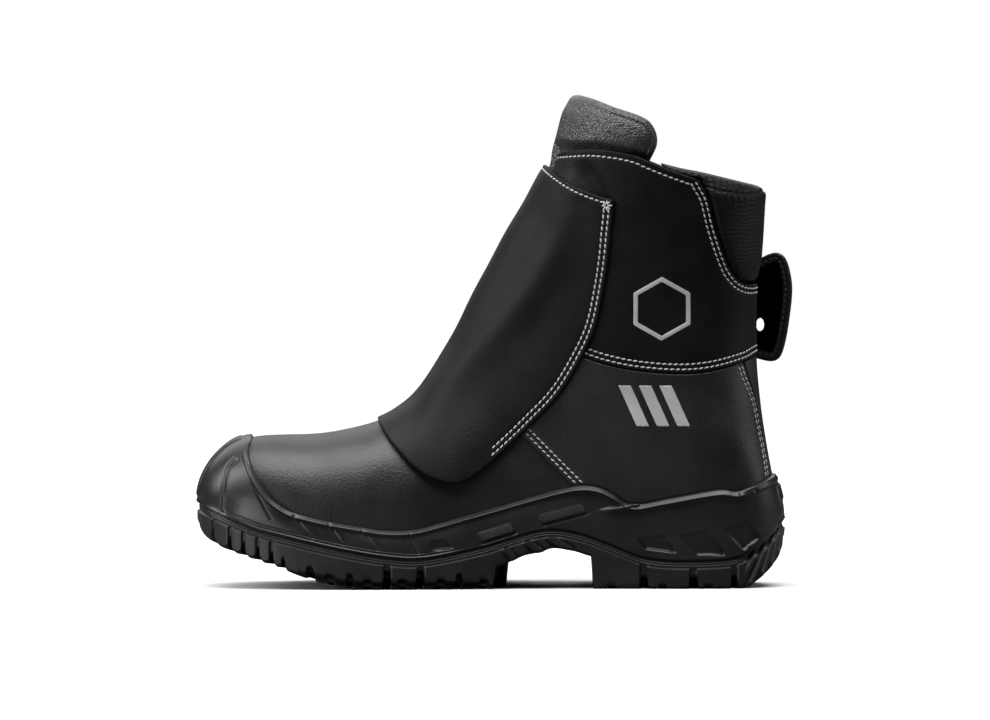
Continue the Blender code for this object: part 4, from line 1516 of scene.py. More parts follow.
@dataclass
class SoleRing:
    """Outline of the sole from above: columns from the heel round the inner side to the toe and back."""

    half_columns: int = 560
    steps: int = 1800
    along: Array = field(init=False)
    across: Array = field(init=False)
    outward: Array = field(init=False)
    run: Array = field(init=False)

    def __post_init__(self) -> None:
        """Spaces the columns evenly along the edge."""
        rows = catmull(PLAN, np.linspace(0, len(PLAN) - 1, self.steps))
        length = run_along(rows[:, :2])
        self.run = np.linspace(0, length[-1], self.half_columns + 1)
        along, half, centre = sampled(rows, length, self.run).T
        self.along = np.concatenate([along, along[-2:0:-1]])
        self.across = np.concatenate([centre + half, (centre - half)[-2:0:-1]])
        turn = np.stack([np.roll(x, -1) - np.roll(x, 1) for x in (self.along, self.across)], axis=1)
        self.outward = unit(np.stack([-turn[:, 1], turn[:, 0]], axis=1))

    def lift(self, up: Array) -> Array:
        """The ring's points at given heights."""
        return np.stack([self.along, self.across, np.broadcast_to(up, self.along.shape)], axis=1)

    def pushed(self, points: Array, distance: Array) -> Array:
        """Points moved outward, level with the floor."""
        level_out = np.hstack([self.outward, np.zeros((len(self.along), 1))])
        return points + level_out * np.reshape(distance, (-1, 1))


def ladder(first: int, columns: int) -> list[Array]:
    """Faces across a closed ring, rung by rung, as triangles at its two ends and quads between.

    Args:
        first: number of the ring's first point.
        columns: how many points it has.

    Returns:
        Quads and triangles.
    """
    half = columns // 2
    rung = np.arange(1, half - 1)
    quads = np.stack([rung, rung + 1, columns - rung - 1, columns - rung], axis=1) + first
    tips = np.array([(0, 1, columns - 1), (half - 1, half, half + 1)]) + first
    return [quads, tips]


def from_foot(outline: Array, places: Array) -> tuple[Array, Array, float]:
    """Heights of side-view places over the lower edge of a panel.

    Args:
        outline: the panel's four corners, the lower edge first.
        places: along and up of each place.

    Returns:
        The distances from the lower edge, the directions away from it, and the panel's own height.
    """
    low, away = nearest(outline[:2], places)
    return low, away, float(nearest(outline[:2], outline[2:].mean(axis=0)[None])[0][0])


@dataclass
class Midsole:
    """Sole body moulded round the upper: side wall with sunk panels, toe bumper, heel cup and rolled rim."""

    ring: SoleRing
    finishes: Finishes
    rows: int = 64
    wall_toe: float = 4.8
    wall_side: float = 1.5
    wall_top: float = 3.4
    toe_top: float = 1.6
    toe_round: float = 5.0
    toe_drop: float = 1.2
    toe_thinner: float = 3.0
    bulge: float = 0.9
    blend: float = 1.8
    foot_gap: float = 0.15
    lining_gap: float = 0.45
    lining_parts: tuple[float, ...] = (0.3, 0.6, 1.0)
    lip: tuple[Pair, ...] = ((0.8, 0.55), (0.53, 0.8), (0.3, 0.65), (0.15, 0.2))
    matched: tuple[float, ...] = (40.0, 140.0, 235.0)
    spine_ends: Pair = (45.0, 245.0)
    pocket: float = 2.1
    pocket_reach: float = 26.0
    ledge: float = 1.1
    wedge: float = 1.2
    wedge_groove: float = 0.8
    bead: float = 2.1
    bead_rise: float = 2.6
    bead_fall: float = 1.1
    bead_round: float = 7.0
    notch: float = 0.4
    notch_half: float = 0.55
    ridge_half: float = 1.3
    line: float = 0.6
    line_half: float = 0.45
    rib: float = 0.45
    rib_groove: float = 0.4
    strip: float = 0.7
    strip_half: float = 11.1
    strip_groove: float = 0.3
    heel_panel: float = 0.8
    heel_panel_half: float = 16.5
    dot: Pair = (16.1, 50.4)
    dot_depth: float = 0.7
    parting_rib: float = 0.26
    parting_line: float = 0.3
    last: Last = Last(2.1, 176)

    def rim(self) -> tuple[Array, Array]:
        """The rim on the last, one point for each column of the ring.

        Returns:
            The points, and the outward directions there.
        """
        patch = Last().patch((-20, 10), (330, 100))
        patch.fields["rim"] = signed(below(np.vstack([smooth(RIM_LINE), [(330, 95)]])), patch.places())
        patch.split("rim", 0.0)
        run = max(patch.chains("rim", 0.0), key=len)[:-1]
        loop = np.hstack([patch.base[run], patch.outward[run]])
        heel = int(np.argmin(np.abs(loop[:, 1]) + 1000 * (loop[:, 0] > 60)))
        loop = np.roll(loop, -heel, axis=0)
        toe = int(np.argmin(np.abs(loop[:, 1] - 5.5) + 1000 * (loop[:, 0] < 200)))
        ways = [loop[:toe + 1], np.vstack([loop[:1], loop[:toe - 1:-1]])]
        if loop[toe // 2, 1] < 0:
            ways.reverse()
        ring = self.ring
        here = np.interp(self.matched, ring.along[:ring.half_columns + 1], ring.run)
        sides = []
        for way in ways:
            length = run_along(way[:, :3])
            there = np.interp(self.matched, np.maximum.accumulate(way[:, 0]), length)
            places = np.interp(ring.run, [0.0, *here, ring.run[-1]], [0.0, *there, length[-1]])
            sides.append(sampled(way, length, places))
        full = np.vstack([sides[0], sides[1][-2:0:-1]])
        return full[:, :3], unit(full[:, 3:])

    def bumper(self, patch: Patch) -> Array:
        """Thickness of the sole on the last: the bumper over the toe, less behind it."""
        toe = self.wall_toe + (self.toe_top - self.wall_toe) * ease(46, 76, patch.base[:, 2])
        return self.wall_side + (toe - self.wall_side) * ease(236, 270, patch.base[:, 0])

    def hits(self, offset: Array, form: Patch, start: Array, toward: Array) -> Array:
        """Distances from start points to a form of the last.

        Args:
            offset: heights of the form over the last.
            form: triangles of the last.
            start: the start points.
            toward: unit directions.

        Returns:
            The distances, or 0 where nothing is met.
        """
        tree = BVHTree.FromPolygons(form.lifted(offset).tolist(), form.faces.tolist())
        reach = [tree.ray_cast(Vector(a), Vector(b))[3] for a, b in zip(start.tolist(), toward.tolist())]
        return np.array([0.0 if r is None else r for r in reach])

    def rolled_rim(self, along: Array, normal: Array, from_rim: Array) -> Array:
        """Heights of the bead along the rim, rounded off over the toe and thinner at the heel.

        Args:
            along: places along the boot.
            normal: outward directions of the wall.
            from_rim: distances down the wall from the rim.

        Returns:
            A height for each place.
        """
        sideways = ease(0.25, 0.5, np.abs(normal[:, 1]))
        rise = (from_rim + 0.3) / self.bead_rise
        fall = (self.bead_rise + 0.9 - from_rim) / self.bead_fall
        faces = np.stack([rise, fall])
        bead = np.maximum(-np.log(np.exp(-self.bead_round * faces).sum(axis=0)) / self.bead_round, 0)
        for notch in RIM_NOTCHES:
            bead *= 1 - self.notch * swell(along - notch, self.notch_half) * sideways
        crown = ease(0.4, 0.8, normal[:, 2]) * ease(255, 270, along)
        bead *= (1 - 0.8 * crown) * (1 - 0.6 * ease(25, 19, along))
        return self.bead * bead - self.toe_drop * crown * (1 - rounded(from_rim / self.toe_round))

    def panels(self, places: Array) -> Array:
        """Heights of the sunk panels, wedges and engraved lines of the wall.

        Args:
            places: along and up of each point of the wall.

        Returns:
            A height for each point.
        """
        offset = np.zeros(len(places))
        for outline in POCKETS:
            middle = outline.mean(axis=0)
            near = in_box(places, middle - self.pocket_reach, middle + self.pocket_reach)
            low, _, tall = from_foot(outline, places[near])
            slope = np.clip(low / self.ledge, 0, 1) * (1 - 0.65 * ease(self.ledge, 0.95 * tall, low))
            offset[near] -= self.pocket * ease(-0.1, 0.6, signed(outline, places[near])) * slope
        for outline in WEDGES:
            low, away, tall = from_foot(outline, places)
            proud = ease(-0.1, 0.4, signed(outline, places)) * np.clip(1 - low / tall, 0, 1)
            under = swell(low - 0.9, 0.55) * (away[:, 1] < 0)
            offset += self.wedge * proud - self.wedge_groove * under
        for line in WALL_LINES:
            distance, _ = nearest(line, places)
            offset -= self.line * swell(distance, self.line_half)
        return offset - self.dot_depth * ease(1.2, 0.6, np.hypot(*(places - self.dot).T))

    def relief(self, points: Array, normal: Array, from_rim: Array, from_parting: Array) -> Array:
        """Heights of the moulded detail over the plain wall.

        Args:
            points: points of the wall.
            normal: outward directions there.
            from_rim: distances down the wall from the rim.
            from_parting: distances up the wall from the parting line.

        Returns:
            A height for each point.
        """
        along, across, _ = points.T
        places = points[:, [0, 2]]
        sideways = ease(0.25, 0.5, np.abs(normal[:, 1]))
        ridge, _ = nearest(smooth(HEEL_RIDGE), places)
        ridge = rounded(1 - ridge / self.ridge_half) * ease(102, 84, along) * sideways
        offset = np.maximum(self.rolled_rim(along, normal, from_rim), self.bead * ridge)
        offset += self.panels(places) * sideways
        rib, _ = nearest(smooth(TOE_RIB), places)
        rib = self.rib * ease(0.9, 0.5, rib) - self.rib_groove * swell(rib - 1.2, 0.4)
        offset += rib * ease(0.1, 0.3, np.abs(normal[:, 1]))
        strip = np.abs(across - PLAN[-1, 2]) - self.strip_half
        toe = ease(270, 282, along) * ease(4.0, 6.0, from_rim) * ease(2.5, 4.0, from_parting)
        offset += (self.strip * ease(0.5, -0.5, strip) - self.strip_groove * swell(strip - 1.1, 0.5)) * toe
        heel = ease(16, 10, along) * ease(4.5, 6.0, from_rim) * ease(9.0, 11.0, from_parting)
        offset += self.heel_panel * ease(0.5, -0.5, np.abs(across) - self.heel_panel_half) * heel
        lined = 1 - 0.75 * ease(178, 160, along) * ease(84, 96, along)
        lines = swell(from_parting - 1.2, 0.3) + swell(from_parting - 2.6, 0.3)
        rib = self.parting_rib * swell(from_parting - 0.4, 0.3)
        return offset + (rib - self.parting_line * lines) * lined

    def spine(self) -> Array:
        """Points inside the sole that the columns of the wall are seen from.

        Returns:
            One point for each column.
        """
        along = np.clip(self.ring.along, *self.spine_ends)
        parting, rim = (profile(smooth(line), along) for line in (PARTING_LINE, RIM_OF_SIDES))
        return np.stack([along, np.interp(along, PLAN[:, 0], PLAN[:, 2]), (parting + rim) / 2], axis=1)

    def wall(self, form: Patch, rim: Array, spine: Array) -> tuple[Array, Array]:
        """Plain wall from the parting line up to the rim, blended with the bumper.

        Args:
            form: triangles of the last.
            rim: points of the rim.
            spine: points that the columns are seen from.

        Returns:
            The points, ring after ring, and the outward directions there.
        """
        ring, count = self.ring, len(rim)
        foot = ring.lift(profile(smooth(PARTING_LINE), ring.along) + self.foot_gap)
        rings = []
        for share in 1 - (1 - np.linspace(0, 1, self.rows)) ** 1.25:
            bulge = np.full(count, self.bulge * math.sin(math.pi * share))
            rings.append(ring.pushed(foot + (rim - foot) * share, bulge))
        start = np.tile(spine, (self.rows, 1))
        ray = np.concatenate(rings) - start
        reach = np.linalg.norm(ray, axis=1)
        toward = ray / reach[:, None]
        other = self.hits(self.bumper(form), form, start, toward)
        blend = np.maximum(self.blend - np.abs(reach - other), 0) / self.blend
        points = start + toward * (np.maximum(reach, other) + blend**2 * self.blend / 4)[:, None]
        sheet = points.reshape(self.rows, count, 3)
        around = np.roll(sheet, -1, axis=1) - np.roll(sheet, 1, axis=1)
        normal = unit(np.cross(around, np.gradient(sheet, axis=0))).reshape(-1, 3)
        inward = np.median(np.einsum("ij,ij->i", normal, toward)) < 0
        return points, -normal if inward else normal

    def lining(self, form: Patch, base: Array, spine: Array) -> list[Array]:
        """Rings of the hollow that the upper stands in, from the rim down to the foot bed.

        Args:
            form: triangles of the last.
            base: points of the rim on the last.
            spine: points that the columns are seen from.

        Returns:
            The points of each ring.
        """
        floor = profile(smooth(FLOOR_LINE), self.ring.along)
        rings = []
        for part in self.lining_parts:
            start = spine.copy()
            start[:, 2] = base[:, 2] + (floor - base[:, 2]) * part
            toward = unit((base - start) * (1, 1, 0))
            reach = self.hits(np.full(len(form.base), self.lining_gap), form, start, toward)
            rings.append(start + toward * reach[:, None])
        return rings

    def build(self) -> None:
        """Makes and installs the sole body."""
        count = len(self.ring.along)
        base, outward = self.rim()
        thick = self.wall_top - self.toe_thinner * ease(55, 74, base[:, 2:])
        spine = self.spine()
        form = self.last.patch((-50, -50), (400, 400))
        wall, normal = self.wall(form, base + outward * thick, spine)
        spans = np.linalg.norm(np.diff(wall.reshape(self.rows, count, 3), axis=0), axis=2)
        run = np.vstack([np.zeros(count), np.cumsum(spans, axis=0)])
        relief = self.relief(wall, normal, (run[-1] - run).ravel(), run.ravel())
        sheet = (wall + normal * relief[:, None]).reshape(self.rows, count, 3)
        climb = unit(sheet[-1] - sheet[-9]) * thick / self.wall_top
        lips = [base + outward * thick * out + climb * rise for out, rise in self.lip]
        every = np.concatenate([*sheet, *lips, *self.lining(form, base, spine)])
        total = len(every) // count
        faces = [grid_faces(total, count)] + [block[:, ::-1] for block in ladder(0, count)]
        faces += ladder((total - 1) * count, count)
        thing = mesh_object("sole_body", every, faces, [self.finishes.sole])
        face_outward(thing)
        install(thing, "moulded_sole", "midsole")


# Distance that stands for no groove near
FAR = 50.0


@dataclass
class Outsole:
    """Tread: a ribbed band under the parting line, side lugs, centre bars and an open waist with ribs."""

    ring: SoleRing
    finishes: Finishes
    top_gap: float = 0.05
    lug: float = 6.0
    lug_parts: tuple[float, ...] = (0.08, 0.18, 0.3, 0.42, 0.54, 0.66, 0.76, 0.86, 0.94, 1.0)
    band: float = 5.2
    band_rows: int = 19
    inset: float = 1.2
    groove_inset: float = 1.6
    rib: float = 0.35
    rib_drops: tuple[float, ...] = (0.9, 2.1, 3.3)
    valley: float = 2.8
    valley_pitch: float = 7.6
    valley_lean: float = 0.8
    fin: float = 2.2
    fin_bed: float = 0.7
    notch: float = 1.7
    sipe: float = 1.2
    sipe_out: float = 9.5
    centre_half: float = 19.0
    centre_groove: float = 5.0
    reach: float = 25.0
    rungs: int = 84
    crisp: float = 40.0

    def grooves(self) -> list[tuple[Array, Array, float, float]]:
        """The side grooves, on both sides of the sole.

        Returns:
            Place on the edge, inward direction, width and height share of each.
        """
        half = self.ring.half_columns
        found = []
        for along, width, share in SIDE_GROOVES:
            index = int(np.argmin(np.abs(self.ring.along[:half] - along)))
            for column in (index, 2 * half - index):
                place = np.array((self.ring.along[column], self.ring.across[column]))
                found.append((place, -self.ring.outward[column], width, share))
        return found

    def groove_gap(self, along: Array, across: Array) -> tuple[Array, Array]:
        """The nearest groove of each place.

        Args:
            along: places along the boot.
            across: places across it.

        Returns:
            The distances, negative inside a groove, and the grooves' height shares.
        """
        gap, tall = np.full(along.shape, FAR), np.ones(along.shape)
        for place, inward, width, share in self.grooves():
            gap_along, gap_across = along - place[0], across - place[1]
            deep = gap_along * inward[0] + gap_across * inward[1]
            lateral = np.abs(gap_along * inward[1] - gap_across * inward[0])
            here = np.maximum(lateral - width / 2, deep - self.reach)
            here = np.where(deep > -15, here, FAR)
            tall = np.where(here < gap, share, tall)
            gap = np.minimum(gap, here)
        for place in CENTRE_GROOVES:
            lateral = np.abs(along - place) - self.centre_groove / 2
            here = np.maximum(lateral, np.abs(across) - self.centre_half)
            tall = np.where(here < gap, 1.0, tall)
            gap = np.minimum(gap, here)
        return gap, tall

    def height(self, along: Array, across: Array) -> Array:
        """Underside of the tread over the floor.

        Args:
            along: places along the boot.
            across: places across it.

        Returns:
            A height for each place.
        """
        parting = profile(smooth(PARTING_LINE), along)
        middle = np.interp(along, PLAN[:, 0], PLAN[:, 2])
        out = np.abs(across - middle)
        tread = np.maximum(profile(smooth(TREAD_LINE), along), 0.0)
        tread = np.minimum(tread, parting - self.band - 1.5)
        root = np.minimum(tread + self.lug, parting - self.band - 0.4)
        gap, tall = self.groove_gap(along, across)
        up = tread + (root - tread) * tall * ease(0.5, -0.5, gap)
        bend = 0.7 + 2.6 * ease(252, 262, along)
        up = np.minimum(up + bend * (1 - rounded(gap / bend)), np.maximum(root, up))
        edge = np.interp(along, PLAN[:, 0], PLAN[:, 1]) - out
        for place, width in LUG_NOTCHES:
            notch = ease(width / 2 + 0.5, width / 2 - 0.5, np.abs(along - place)) * ease(14, 11, edge)
            up = up + self.notch * notch
        sipe = np.abs(out - self.sipe_out)
        up = up + self.sipe * ease(0.9, 0.4, sipe) * ease(30, 34, along) * ease(262, 258, along)
        block_end = 144.0 + 7.0 * ease(12, 30, out)
        waist = np.minimum(ease(99.6, 100.6, along), ease(block_end + 1.0, block_end - 1.0, along))
        arch = profile(smooth(ARCH_LINE), along) + 2.0 * ease(16, 8, out)
        return up + (np.maximum(up, arch) - up) * waist

    def side_rings(self) -> list[Array]:
        """Rings of the tread's side, from the parting line down to the tread's edge.

        Returns:
            The points of each ring.
        """
        ring = self.ring
        top = profile(smooth(PARTING_LINE), ring.along) - self.top_gap
        tall = top - self.height(ring.along, ring.across)
        gap, share = self.groove_gap(ring.along, ring.across)
        groove = ease(0.5, -0.5, gap) * (share > 0.9)
        run = np.concatenate([ring.run, ring.run[-2:0:-1]])
        heel = ease(26, 16, ring.along)
        fore = ease(150, 156, ring.along) * ease(258, 240, ring.along)
        bevel_tall = 1.3 + 3.2 * fore
        bevel_deep = 1.1 + 5.4 * fore
        drops = [np.full(len(top), drop) for drop in np.linspace(0, self.band, self.band_rows)]
        drops += [self.band + (tall - self.band) * part for part in self.lug_parts]
        rings = []
        for drop in drops:
            ribs = self.rib * sum(swell(drop - place, self.rib) for place in self.rib_drops)
            turn = 2 * math.pi * (run - self.valley_lean * drop) / self.valley_pitch
            valley = (0.5 + 0.5 * np.cos(turn)) ** 2 * heel * ease(0.8, 2.5, drop)
            bevel = bevel_deep * ease(1.0, 0.3, (tall - drop) / bevel_tall)
            under_band = ease(3.9, 5.0, drop)
            inset = self.inset * (1 - under_band) - ribs * (1 - heel) + self.valley * valley
            inset += (self.groove_inset * groove + bevel) * under_band
            points = ring.lift(top - drop)
            for fin in WAIST_FINS:
                distance, _ = nearest(np.array(fin, float), points[:, [0, 2]])
                proud = self.fin * ease(2.0, 1.5, distance) - self.fin_bed * ease(3.4, 2.4, distance)
                inset -= proud * under_band
            rings.append(ring.pushed(points, -inset))
        return rings

    def build(self) -> None:
        """Makes and installs the tread."""
        count, half = len(self.ring.along), self.ring.half_columns
        rings = self.side_rings()
        wall = np.concatenate(rings)
        inner_edge, outer_edge = rings[-1][1:half], rings[-1][:half:-1]
        share = (np.arange(1, self.rungs) / self.rungs)[None, :, None]
        under = inner_edge[:, None] * (1 - share) + outer_edge[:, None] * share
        under[:, :, 2] = self.height(under[:, :, 0], under[:, :, 1])
        first = (len(rings) - 1) * count
        numbers = len(wall) + np.arange((half - 1) * (self.rungs - 1)).reshape(half - 1, self.rungs - 1)
        left = first + np.arange(1, half)
        right = first + count - np.arange(1, half)
        table = np.hstack([left[:, None], numbers, right[:, None]])
        corners = [table[:-1, :-1], table[1:, :-1], table[1:, 1:], table[:-1, 1:]]
        quads = np.stack(corners, axis=-1).reshape(-1, 4)
        heel_tip = np.stack([np.full(self.rungs, first), table[0, :-1], table[0, 1:]], axis=1)
        toe_tip = np.stack([table[-1, :-1], np.full(self.rungs, first + half), table[-1, 1:]], axis=1)
        faces = [block[:, ::-1] for block in (grid_faces(len(rings), count), quads, heel_tip, toe_tip)]
        faces += ladder(0, count)
        points = np.vstack([wall, under.reshape(-1, 3)])
        thing = mesh_object("tread_sole", points, faces, [self.finishes.tread])
        thing.data.set_sharp_from_angle(angle=math.radians(self.crisp))
        face_outward(thing)
        install(thing, "tread_rubber", "outsole")


@dataclass
class Strap:
    """Closing strap on the outer side, whose rounded end stands free behind the heel."""

    flap: Flap
    finishes: Finishes
    rows: Rows
    thickness: float = 2.6
    low: float = 115.0
    high: float = 172.0
    start: float = 120.0
    leaves: float = 44.0
    free: float = 36.0
    tip: Pair = (-9.0, -30.0)
    steps: int = 9
    seat_gap: float = 0.6
    hole: Pair = (12.6, 134.4)
    hole_radius: float = 2.2
    hole_tall: float = 1.6
    edge_round: float = 1.3
    edge_loops: tuple[float, ...] = (0.3, 0.8, 1.3)
    stitch_in: float = 3.0
    stitch_loops: tuple[float, ...] = (2.2, 3.0, 3.8, 4.6)
    pile_in: float = 4.4
    cell: float = 1.37
    below_low: float = 2.17
    above_high: float = 2.5

    def path(self) -> Array:
        """The strap's inner side seen from above, over the flap and out behind the heel.

        Returns:
            Along and across of the path.
        """
        patch = Last(2.1, 176).patch((20, self.low - 4), (150, self.high + 4))
        patch.fields["edge"] = np.full(len(patch.base), 20.0)
        face = patch.lifted(self.flap.seat(patch) + self.flap.thickness(patch))
        points = []
        for along in np.linspace(self.start, self.leaves, self.steps + 1):
            close = (np.abs(face[:, 0] - along) < 2.5) & (face[:, 1] < 0)
            points.append((along, float(face[close, 1].min()) - self.seat_gap))
        return smooth(points + [self.tip], 12)

    def sheet(self, path: Array) -> Patch:
        """Upright sheet along the strap's path, before it is cut out.

        Args:
            path: along and across of the path.

        Returns:
            Triangles of the strap's inner side.
        """
        path = resample(path, int(run_along(path)[-1] / self.cell))
        turn = unit(np.gradient(path, axis=0))
        heights = np.arange(self.low - self.below_low, self.high + self.above_high, self.cell)
        points = np.empty((len(path), len(heights), 3))
        points[:, :, :2] = path[:, None]
        points[:, :, 2] = heights
        away = np.stack([-turn[:, 1], turn[:, 0], np.zeros(len(turn))], axis=1)
        if np.median(away[:, 1]) > 0:
            away = -away
        return grid_patch(points, np.repeat(away[:, None], len(heights), axis=1), closed=False)

    def cut_out(self, patch: Patch) -> None:
        """Cuts the strap and its hole out of the sheet, and loops its edge and stitch row.

        Args:
            patch: triangles of the sheet.
        """
        back = self.start - 0.5
        area = np.vstack([smooth(STRAP_END), [(back, 118), (back, 168)]])
        angle = np.linspace(0, 2 * math.pi, 33)[:-1]
        ring = np.stack([np.cos(angle), self.hole_tall * np.sin(angle)], axis=1)
        ring = ring * self.hole_radius + self.hole
        outline = signed(area, patch.places())
        patch.fields["outline"] = outline
        patch.trim(np.minimum(outline, -signed(ring, patch.places())))
        for name, loops in (("edge", self.edge_loops), ("outline", self.stitch_loops)):
            for inside in loops:
                patch.split(name, inside)

    def build(self) -> None:
        """Makes and installs the strap."""
        patch = self.sheet(self.path())
        self.cut_out(patch)
        outline = patch.fields["outline"]
        soft = 0.55 * (1 - rounded(patch.fields["edge"] / self.edge_round))
        groove = 0.25 * swell(outline - self.stitch_in, 0.7)
        sunk = 0.5 * ease(4.2, 4.7, outline)
        over = self.thickness - soft - groove
        under = soft + groove + sunk
        outer, inner = patch.lifted(over), patch.lifted(under)
        for run in patch.chains("outline", self.stitch_in):
            self.rows.add(outer[run], patch.outward[run])
            for piece in stretches(run, patch.base[run, 0] < self.free):
                self.rows.add(inner[piece], -patch.outward[piece])
        points, faces = patch.shell(over, under)
        piled = outline[patch.faces].mean(axis=1) > self.pile_in
        slots = np.concatenate([np.zeros(len(patch.faces)), piled, np.zeros(len(faces[-1]))])
        thing = mesh_object("strap_leather", points, faces, [self.finishes.smooth, self.finishes.pile], slots)
        install(thing, "smooth_leather", "closing_strap")


@dataclass
class Marks:
    """Plain grey printed marks on the inner side: a hexagon outline, and three slanted bars."""

    shaft: Shaft
    finishes: Finishes
    hexagon: Pair = (64.7, 144.5)
    radius: float = 16.5
    line: float = 2.2
    bars: Pair = (68.5, 94.4)
    bar_half: float = 3.2
    bar_tall: float = 10.5
    bar_pitch: float = 10.5
    bar_lean: float = 0.45
    reach: float = 24.0
    print_height: float = 0.1
    print_sink: float = 0.15
    last: Last = Last(0.9, 400)

    def in_hexagon(self, places: Array) -> Array:
        """How far side-view places lie inside the hexagon's line.

        Args:
            places: along and up of each place.

        Returns:
            The depths, negative outside.
        """
        angle = np.radians(np.arange(0, 360, 60) + 30)
        outline = np.stack([np.cos(angle), np.sin(angle)], axis=1) * self.radius + self.hexagon
        half = self.line / 2
        return half - np.abs(signed(outline, places) - half)

    def in_bars(self, places: Array) -> Array:
        """How far side-view places lie inside one of the three bars.

        Args:
            places: along and up of each place.

        Returns:
            The depths, negative outside.
        """
        along, up = (places - self.bars).T
        lean = along - self.bar_lean * up
        shifts = (-self.bar_pitch, 0.0, self.bar_pitch)
        bars = np.max([self.bar_half - np.abs(lean - shift) for shift in shifts], axis=0)
        return np.minimum(bars, self.bar_tall - np.abs(up))

    def print(self, name: str, depth: Callable[[Array], Array], centre: Pair, over: float) -> None:
        """Lays one printed mark on the leather.

        Args:
            name: name of the piece.
            depth: how far side-view places lie inside the mark.
            centre: along and up of its middle.
            over: height of the leather's face over the last.
        """
        low, high = np.array(centre) - self.reach, np.array(centre) + self.reach
        patch = self.last.patch(tuple(low), tuple(high))
        patch.trim(np.minimum(depth(patch.places()), patch.base[:, 1]))
        face = over + folds(patch)
        points, faces = patch.shell(face + self.print_height, face - self.print_sink)
        install(mesh_object(name, points, faces, [self.finishes.print]), "")

    def build(self) -> None:
        """Prints both marks."""
        self.print("hexagon_print", self.in_hexagon, self.hexagon, GAP + self.shaft.panel)
        self.print("bars_print", self.in_bars, self.bars, GAP + self.shaft.quarter)


@dataclass(frozen=True)
class SoftLight:
    """A soft area light that faces the boot."""

    name: str
    place: Triple
    size: Pair
    power: float
    spread: float = 180.0
    aim: Triple = (0.0, 0.0, 0.08)

    def build(self) -> None:
        """Puts the light into the scene, out of the camera's sight."""
        lamp = bpy.data.lights.new(self.name, "AREA")
        lamp.shape = "RECTANGLE"
        lamp.size, lamp.size_y = self.size
        lamp.energy = self.power
        lamp.spread = math.radians(self.spread)
        thing = placed(self.name, lamp)
        thing.location = self.place
        thing.rotation_mode = "QUATERNION"
        thing.rotation_quaternion = (Vector(self.aim) - Vector(self.place)).to_track_quat("-Z", "Y")
        thing.visible_camera = False


LIGHTS = [
    SoftLight("key", (1.2, 0.5, 1.2), (0.7, 0.7), 8.0),
    SoftLight("toe_side", (1.5, 0.1, 0.8), (0.7, 0.7), 10.0),
    SoftLight("heel_side", (-1.5, -0.3, 0.6), (0.7, 0.9), 3.0),
    SoftLight("behind", (0.15, -1.2, 0.95), (1.8, 1.0), 8.0),
    SoftLight("low", (0.40, 0.42, 0.04), (0.35, 0.06), 0.15, 100.0),
]


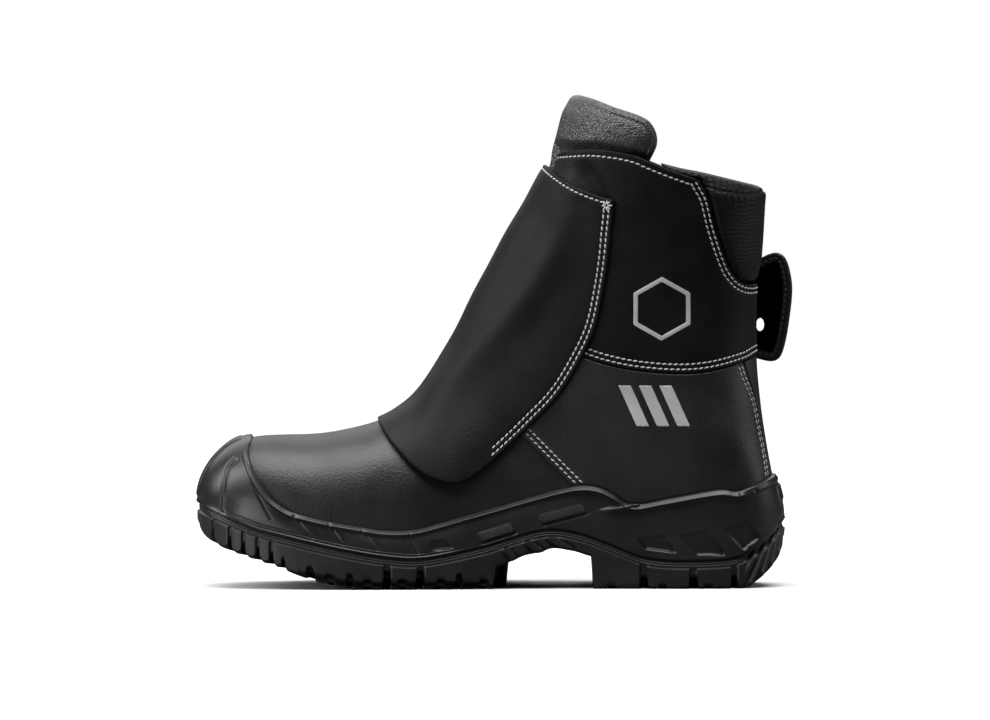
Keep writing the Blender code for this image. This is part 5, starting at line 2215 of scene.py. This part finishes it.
@dataclass
class Studio:
    """Pale floor, soft lights and the camera of the photo's view."""

    elevation: float = 1.6
    distance: float = 6.0
    width: float = 0.5138
    sensor: float = 36.0
    aim: Triple = (0.0001, 0.0, 0.1169)
    sky_strength: float = 4.1
    sky_angle: float = 60.0
    sky_tilt: float = 11.0
    floor_half: float = 6.0
    floor_seen: Triple = (0.94, 0.94, 0.94)
    floor_dim: Triple = (0.08, 0.08, 0.08)
    world_dim: float = 0.02

    def floor(self) -> None:
        """Plain white floor under the boot."""
        mesh = bpy.data.meshes.new("floor")
        half = self.floor_half
        mesh.from_pydata([(-half, -half, 0), (half, -half, 0), (half, half, 0), (-half, half, 0)], [],
                         [(0, 1, 2, 3)])
        nodes = Nodes("pale_floor")
        seen = nodes.tree.nodes.new("ShaderNodeLightPath").outputs["Is Camera Ray"]
        nodes.link(nodes.mix(seen, self.floor_dim, self.floor_seen), "Base Color")
        nodes.set(Roughness=0.6)
        mesh.materials.append(nodes.material)
        placed("floor", mesh)

    def sky(self) -> None:
        """Even soft light from overhead, as from a white ceiling."""
        lamp = bpy.data.lights.new("sky", "SUN")
        lamp.energy = self.sky_strength
        lamp.angle = math.radians(self.sky_angle)
        placed("sky", lamp).rotation_euler = (-math.radians(self.sky_tilt), 0, 0)

    def world(self) -> None:
        """White surroundings for the eye, and dim ones for the light."""
        world = bpy.data.worlds.new("white_studio")
        world.use_nodes = True
        tree = world.node_tree
        dim = tree.nodes["Background"]
        seen = tree.nodes.new("ShaderNodeBackground")
        for background, strength in ((dim, self.world_dim), (seen, 1.0)):
            background.inputs["Color"].default_value = (1.0, 1.0, 1.0, 1.0)
            background.inputs["Strength"].default_value = strength
        path = tree.nodes.new("ShaderNodeLightPath")
        mix = tree.nodes.new("ShaderNodeMixShader")
        for number, source in enumerate((path.outputs["Is Camera Ray"], dim.outputs[0], seen.outputs[0])):
            tree.links.new(source, mix.inputs[number])
        tree.links.new(mix.outputs[0], tree.nodes["World Output"].inputs["Surface"])
        bpy.context.scene.world = world

    def camera(self) -> None:
        """Long lens at the photo's height and angle."""
        data = bpy.data.cameras.new("camera")
        data.sensor_width = self.sensor
        data.lens = self.sensor * self.distance / self.width
        thing = placed("camera", data)
        tilt = math.radians(self.elevation)
        back = Vector((0, math.cos(tilt), math.sin(tilt)))
        thing.location = Vector(self.aim) + back * self.distance
        thing.rotation_mode = "QUATERNION"
        thing.rotation_quaternion = (-back).to_track_quat("-Z", "Y")
        bpy.context.scene.camera = thing

    def build(self) -> None:
        """Sets the stage."""
        bpy.context.scene.view_settings.view_transform = "Standard"
        self.floor()
        self.sky()
        for light in LIGHTS:
            light.build()
        self.world()
        self.camera()


def main() -> None:
    """Builds and dresses the boot, piece by piece."""
    logging.basicConfig(level=logging.INFO, format="%(message)s")
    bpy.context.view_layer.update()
    finishes = Finishes()
    rows, strap_rows = Rows(), Rows()
    shaft, flap = Shaft(finishes, rows), Flap(finishes, rows)
    shaft.build()
    flap.build()
    Pads(finishes, rows).build()
    Strap(flap, finishes, strap_rows).build()
    ring = SoleRing()
    Midsole(ring, finishes).build()
    Outsole(ring, finishes).build()
    Marks(shaft, finishes).build()
    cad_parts["insole"].data.materials.clear()
    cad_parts["insole"].data.materials.append(finishes.felt)
    Stitching().build("seam_stitches", rows, finishes.thread)
    Stitching().build("strap_stitches", strap_rows, finishes.black_thread)
    Studio().build()


if __name__ == "__main__":
    main()
